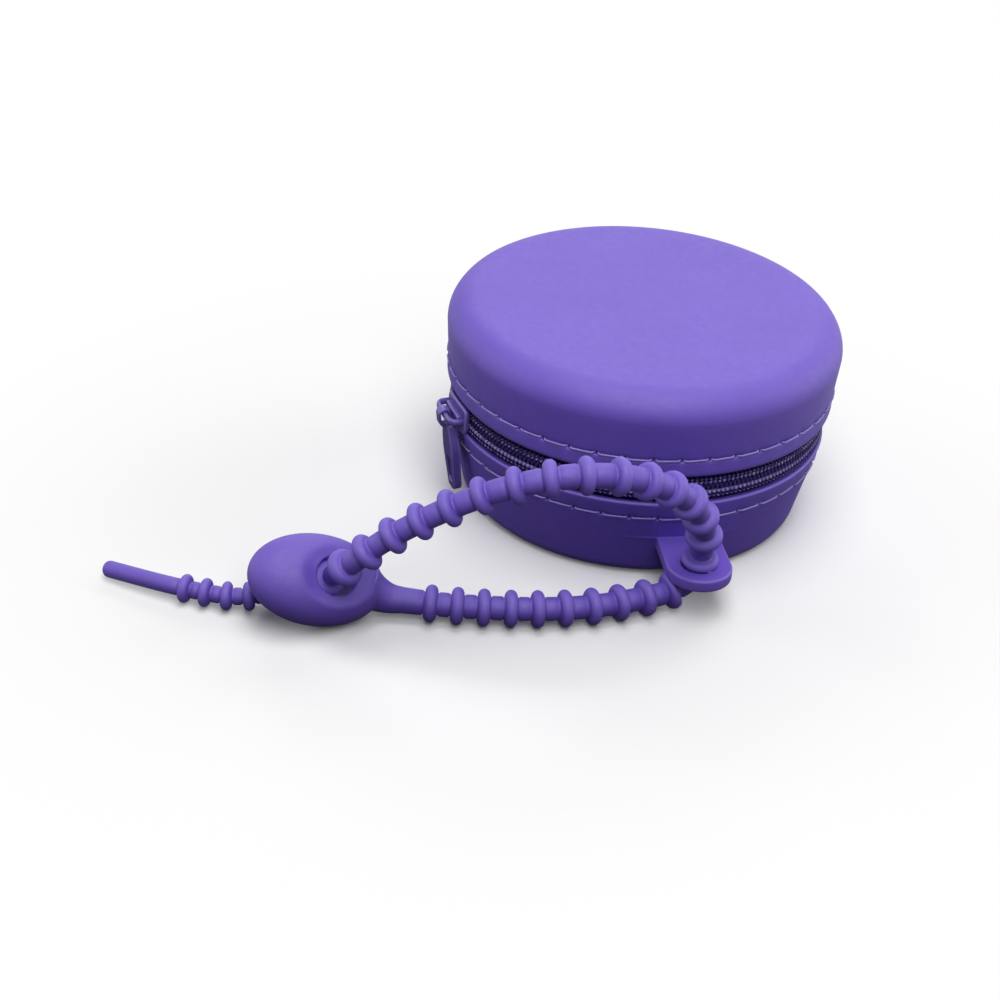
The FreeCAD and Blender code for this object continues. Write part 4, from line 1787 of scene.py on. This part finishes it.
@dataclass
class Bead:
    """Egg-shaped head of the strap, with a dished hole for the tail."""

    strap: Strap
    centre: Vector = field(default_factory=lambda: Vector((-0.0672, -0.0392, 0.0078)))
    hole_axis: Vector = field(default_factory=lambda: Vector((0.26, -0.7, 0.665)))
    long_axis: Vector = field(default_factory=lambda: Vector((0.96, 0.1, -0.26)))
    half: Triple = (0.0129, 0.0083, 0.0063)
    offset: float = 0.0021
    hole_half: Flat = (0.004, 0.0035)
    dish: Flat = (0.0039, 0.0026)
    dish_depth: float = 0.0011
    lip: float = 0.0006

    def reach(self, angle: float) -> float:
        """Distance from the hole's axis to the egg's rim.

        Args:
            angle: Angle round the hole.

        Returns:
            The distance.
        """
        c, s = math.cos(angle) / self.half[0], math.sin(angle) / self.half[1]
        away = self.offset / self.half[0]
        square = c * c + s * s
        return (math.sqrt(away * away * c * c + square * (1 - away * away)) - away * c) / square

    def surface(self, angle: float, bore: float, radius: float) -> float:
        """Height of the egg's skin over its middle plane, with the dish sunk in it.

        Args:
            angle: Angle from the bead's long axis.
            bore: Distance from the hole's axis to its wall.
            radius: Distance from the axis to the point.

        Returns:
            The height along the hole's axis.
        """
        c, s = math.cos(angle), math.sin(angle)
        dish = 1 / math.hypot(c / self.dish[0], s / self.dish[1])
        share = min(1.0, max(0.0, (radius - bore) / min(dish, self.reach(angle) - bore - self.lip)))
        sink = self.dish_depth * (1 - share * share * (3 - 2 * share))
        square = ((radius * c + self.offset) / self.half[0]) ** 2 + (radius * s / self.half[1]) ** 2
        return self.half[2] * math.sqrt(max(0.0, 1 - square)) - sink

    def profile(self, angle: float) -> List[Flat]:
        """Closed section of the bead at an angle round its hole.

        Args:
            angle: Angle from the bead's long axis.

        Returns:
            Points as (distance from the hole's axis, distance along it).
        """
        c, s = math.cos(angle), math.sin(angle)
        reach = self.reach(angle)
        bore = 1 / math.hypot(c / self.hole_half[0], s / self.hole_half[1])
        near = bore + self.lip
        swing = math.acos(near / reach)
        radii = [reach * math.cos(swing * share**0.8) for share in ramp(30, 1.0)]
        half = [(r, self.surface(angle, bore, r)) for r in radii]
        high = half[-1][1]
        half += [(bore + self.lip * (1 - math.sin(a)), high - self.lip * (1 - math.cos(a)))
                 for a in ramp(6)[1:]]
        half += [(bore, (high - self.lip) * share) for share in (0.66, 0.33, 0.0)]
        return half + [(r, -h) for r, h in reversed(half[1:-1])]

    def build(self) -> Piece:
        """Makes the bead.

        Returns:
            The dressed bead.
        """
        hole = self.hole_axis.normalized()
        width = hole.cross(self.long_axis).normalized()
        length = width.cross(hole)
        rings: List[Ring] = []
        for angle in ramp(96, 2 * math.pi)[:-1]:
            out = length * math.cos(angle) + width * math.sin(angle)
            rings.append([self.centre + out * r + hole * h for r, h in self.profile(angle)])
        skin = Skin()
        skin.add(rings, wrap_rings=True)
        self.strap.neck(skin)
        return STRAP_SILICONE.dress(skin.build("strap_bead_silicone"))


@dataclass(frozen=True)
class SoftBox:
    """Rectangular studio lamp."""

    name: str
    place: Triple
    target: Triple
    size: Flat
    power: float

    def light(self) -> None:
        """Adds the lamp."""
        lamp = bpy.data.lights.new(self.name, "AREA")
        lamp.shape = "RECTANGLE"
        lamp.size, lamp.size_y = self.size
        lamp.energy = self.power
        holder = put(self.name, lamp)
        holder.location = self.place
        aim = Vector(self.target) - Vector(self.place)
        holder.rotation_euler = aim.to_track_quat("-Z", "Y").to_euler()


@dataclass
class Studio:
    """Pale floor, soft lamps, white surround and the camera."""

    eye: Vector = field(default_factory=lambda: Vector((-0.154576, -0.450246, 0.279008)))
    azimuth: float = math.radians(-16.0)
    pitch: float = math.radians(30.942)
    roll: float = math.radians(5.145)
    lens: float = 101.34
    sensor: float = 36.0
    clip: Flat = (0.01, 20.0)
    ambient: float = 0.02
    floor_half: float = 3.0
    floor_level: float = -0.0001
    paper: Colour = (0.96, 0.96, 0.96, 1)
    bounce: Colour = (0.07, 0.07, 0.07, 1)
    pool: Triple = (-0.02, -0.03, 0)
    pool_fade: Flat = (0.06, 0.13)
    pool_white: float = 0.03
    boxes: Tuple[SoftBox, ...] = (
        SoftBox("top_box", (-0.07, -0.35, 0.84), (-0.01, -0.01, 0.02), (0.5, 1.2), 8.2),
        SoftBox("back_box", (0.25, 0.85, 0.62), (0, 0, 0.03), (0.9, 0.5), 2.9),
        SoftBox("left_box", (-0.74, 0.26, 0.3), (0, 0, 0.02), (0.5, 0.5), 1.5),
        SoftBox("right_box", (0.76, 0.02, 0.3), (0, 0, 0.02), (0.5, 0.5), 2.2),
    )

    def camera(self) -> None:
        """Adds the camera at the photograph's viewing angle."""
        turn, pitch = -self.azimuth, self.pitch
        flat = math.cos(pitch)
        forward = Vector((math.sin(turn) * flat, math.cos(turn) * flat, -math.sin(pitch)))
        level = Vector((math.cos(turn), -math.sin(turn), 0))
        above = level.cross(forward)
        right = level * math.cos(self.roll) + above * math.sin(self.roll)
        up = right.cross(forward)
        data = bpy.data.cameras.new("camera")
        data.sensor_width = self.sensor
        data.lens = self.lens
        data.clip_start, data.clip_end = self.clip
        holder = put("camera", data)
        axes = Matrix((right, up, -forward)).transposed()
        holder.matrix_world = Matrix.Translation(self.eye) @ axes.to_4x4()
        bpy.context.scene.camera = holder

    def surround(self) -> None:
        """Makes the world: white where it is seen or mirrored, and dim where it lights."""
        world = bpy.data.worlds.new("surround")
        bpy.context.scene.world = world
        world.use_nodes = True
        bench = Bench(world.node_tree)
        seen = bench.rays("Camera", "Glossy", "Transmission")
        bench.fill(world.node_tree.nodes["Background"], {
            "Color": (1, 1, 1, 1), "Strength": bench.span(seen, 0.0, 1.0, self.ambient, 1.0),
        })

    def floor(self) -> None:
        """Makes the floor, which keeps the shadows near the object and is white further out."""
        half, level = self.floor_half, self.floor_level
        mesh = bpy.data.meshes.new("floor")
        ends = ((-half, -half), (half, -half), (half, half), (-half, half))
        mesh.from_pydata([(*end, level) for end in ends], [], [(0, 1, 2, 3)])
        floor = put("floor", mesh)
        paint = bpy.data.materials.new("floor_paper")
        paint.use_nodes = True
        bench = Bench(paint.node_tree)
        nodes = paint.node_tree.nodes
        nodes.remove(nodes["Principled BSDF"])
        away = bench.add("ShaderNodeVectorMath", operation="DISTANCE")
        bench.fill(away, {0: bench.place(), 1: self.pool})
        white = bench.span(away.outputs["Value"], *self.pool_fade, self.pool_white, 1.0)
        shade = bench.mix(bench.rays("Camera"), self.bounce, self.paper)
        blend = bench.fill(bench.add("ShaderNodeMixShader"), {
            0: bench.math("MULTIPLY", bench.rays("Camera", "Glossy"), white),
            1: bench.fill(bench.add("ShaderNodeBsdfDiffuse"), {"Color": shade}).outputs[0],
            2: bench.fill(bench.add("ShaderNodeEmission"), {"Strength": 1.0}).outputs[0],
        })
        bench.fill(nodes["Material Output"], {"Surface": blend.outputs[0]})
        mesh.materials.append(paint)
        floor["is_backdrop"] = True

    def build(self) -> None:
        """Sets up the whole studio."""
        bpy.context.scene.view_settings.view_transform = "Standard"
        self.surround()
        self.floor()
        for box in self.boxes:
            box.light()
        self.camera()


def report(piece: Piece, body: Optional[Body], *nodes: str) -> None:
    """Sets a piece on its body in place of its solids, and logs it.

    Args:
        piece: Piece to set.
        body: Body that it rides on, or none for a piece that stays where it was built.
        nodes: Solids that it stands for.
    """
    if body:
        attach(piece, body.value)
    if nodes:
        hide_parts(*nodes)
    LOG.info("%s: %d points", piece.name, len(piece.data.vertices))


def build_case() -> None:
    """Builds both shells, their seams, the lug and the hinge strip."""
    lid, bowl = Lid(), Bowl()
    report(lid.build(), Body.LID, "lid_shell")
    report(bowl.build(), Body.BOWL, "bowl_shell")
    report(Lug(bowl).build(), Body.BOWL)
    report(lid.seam.build(), Body.LID, "lid_stitching")
    report(bowl.seam.build(), Body.BOWL, "bowl_stitching")
    web = HingeWeb().build()
    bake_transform(web)
    report(web, None, "hinge_web")


def build_zip() -> None:
    """Builds the tapes, coils, stops, slider and pull."""
    for side, body in ((Side.UPPER, Body.LID), (Side.LOWER, Body.BOWL)):
        half = ZipSide(side)
        report(half.tape(), body, half.word + "_tape")
        report(half.coil(), body, half.word + "_coil")
        report(half.sewing(), body)
        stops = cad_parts[half.word + "_end_stops"]
        ZIP_LACQUER.dress(stops)
        rounded = stops.modifiers.new("rounded", "BEVEL")
        rounded.width = 0.0002
        rounded.segments = 2
    slider = Slider()
    report(slider.build(), Body.SLIDER, "slider_body")
    report(PullTab(slider).build(), Body.PULL, "pull_tab")


def build_strap() -> None:
    plan = Strap()
    bead = Bead(plan).build()
    report(bead, Body.STRAP, "strap_bead")
    strap, trail = plan.build()
    report(strap, Body.STRAP, "strap_cord")
    tuple(trail.points[0])
    [tuple(p) for p in trail.points]


def corners() -> List[List[float]]:
    """Lowest and highest corner of what shows now."""
    return [list(corner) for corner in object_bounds()]


def main() -> None:
    """Builds the studio and every piece."""
    logging.basicConfig(level=logging.INFO, format="%(message)s")
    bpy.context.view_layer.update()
    Studio().build()
    build_strap()
    build_case()
    build_zip()


if __name__ == "__main__":
    main()
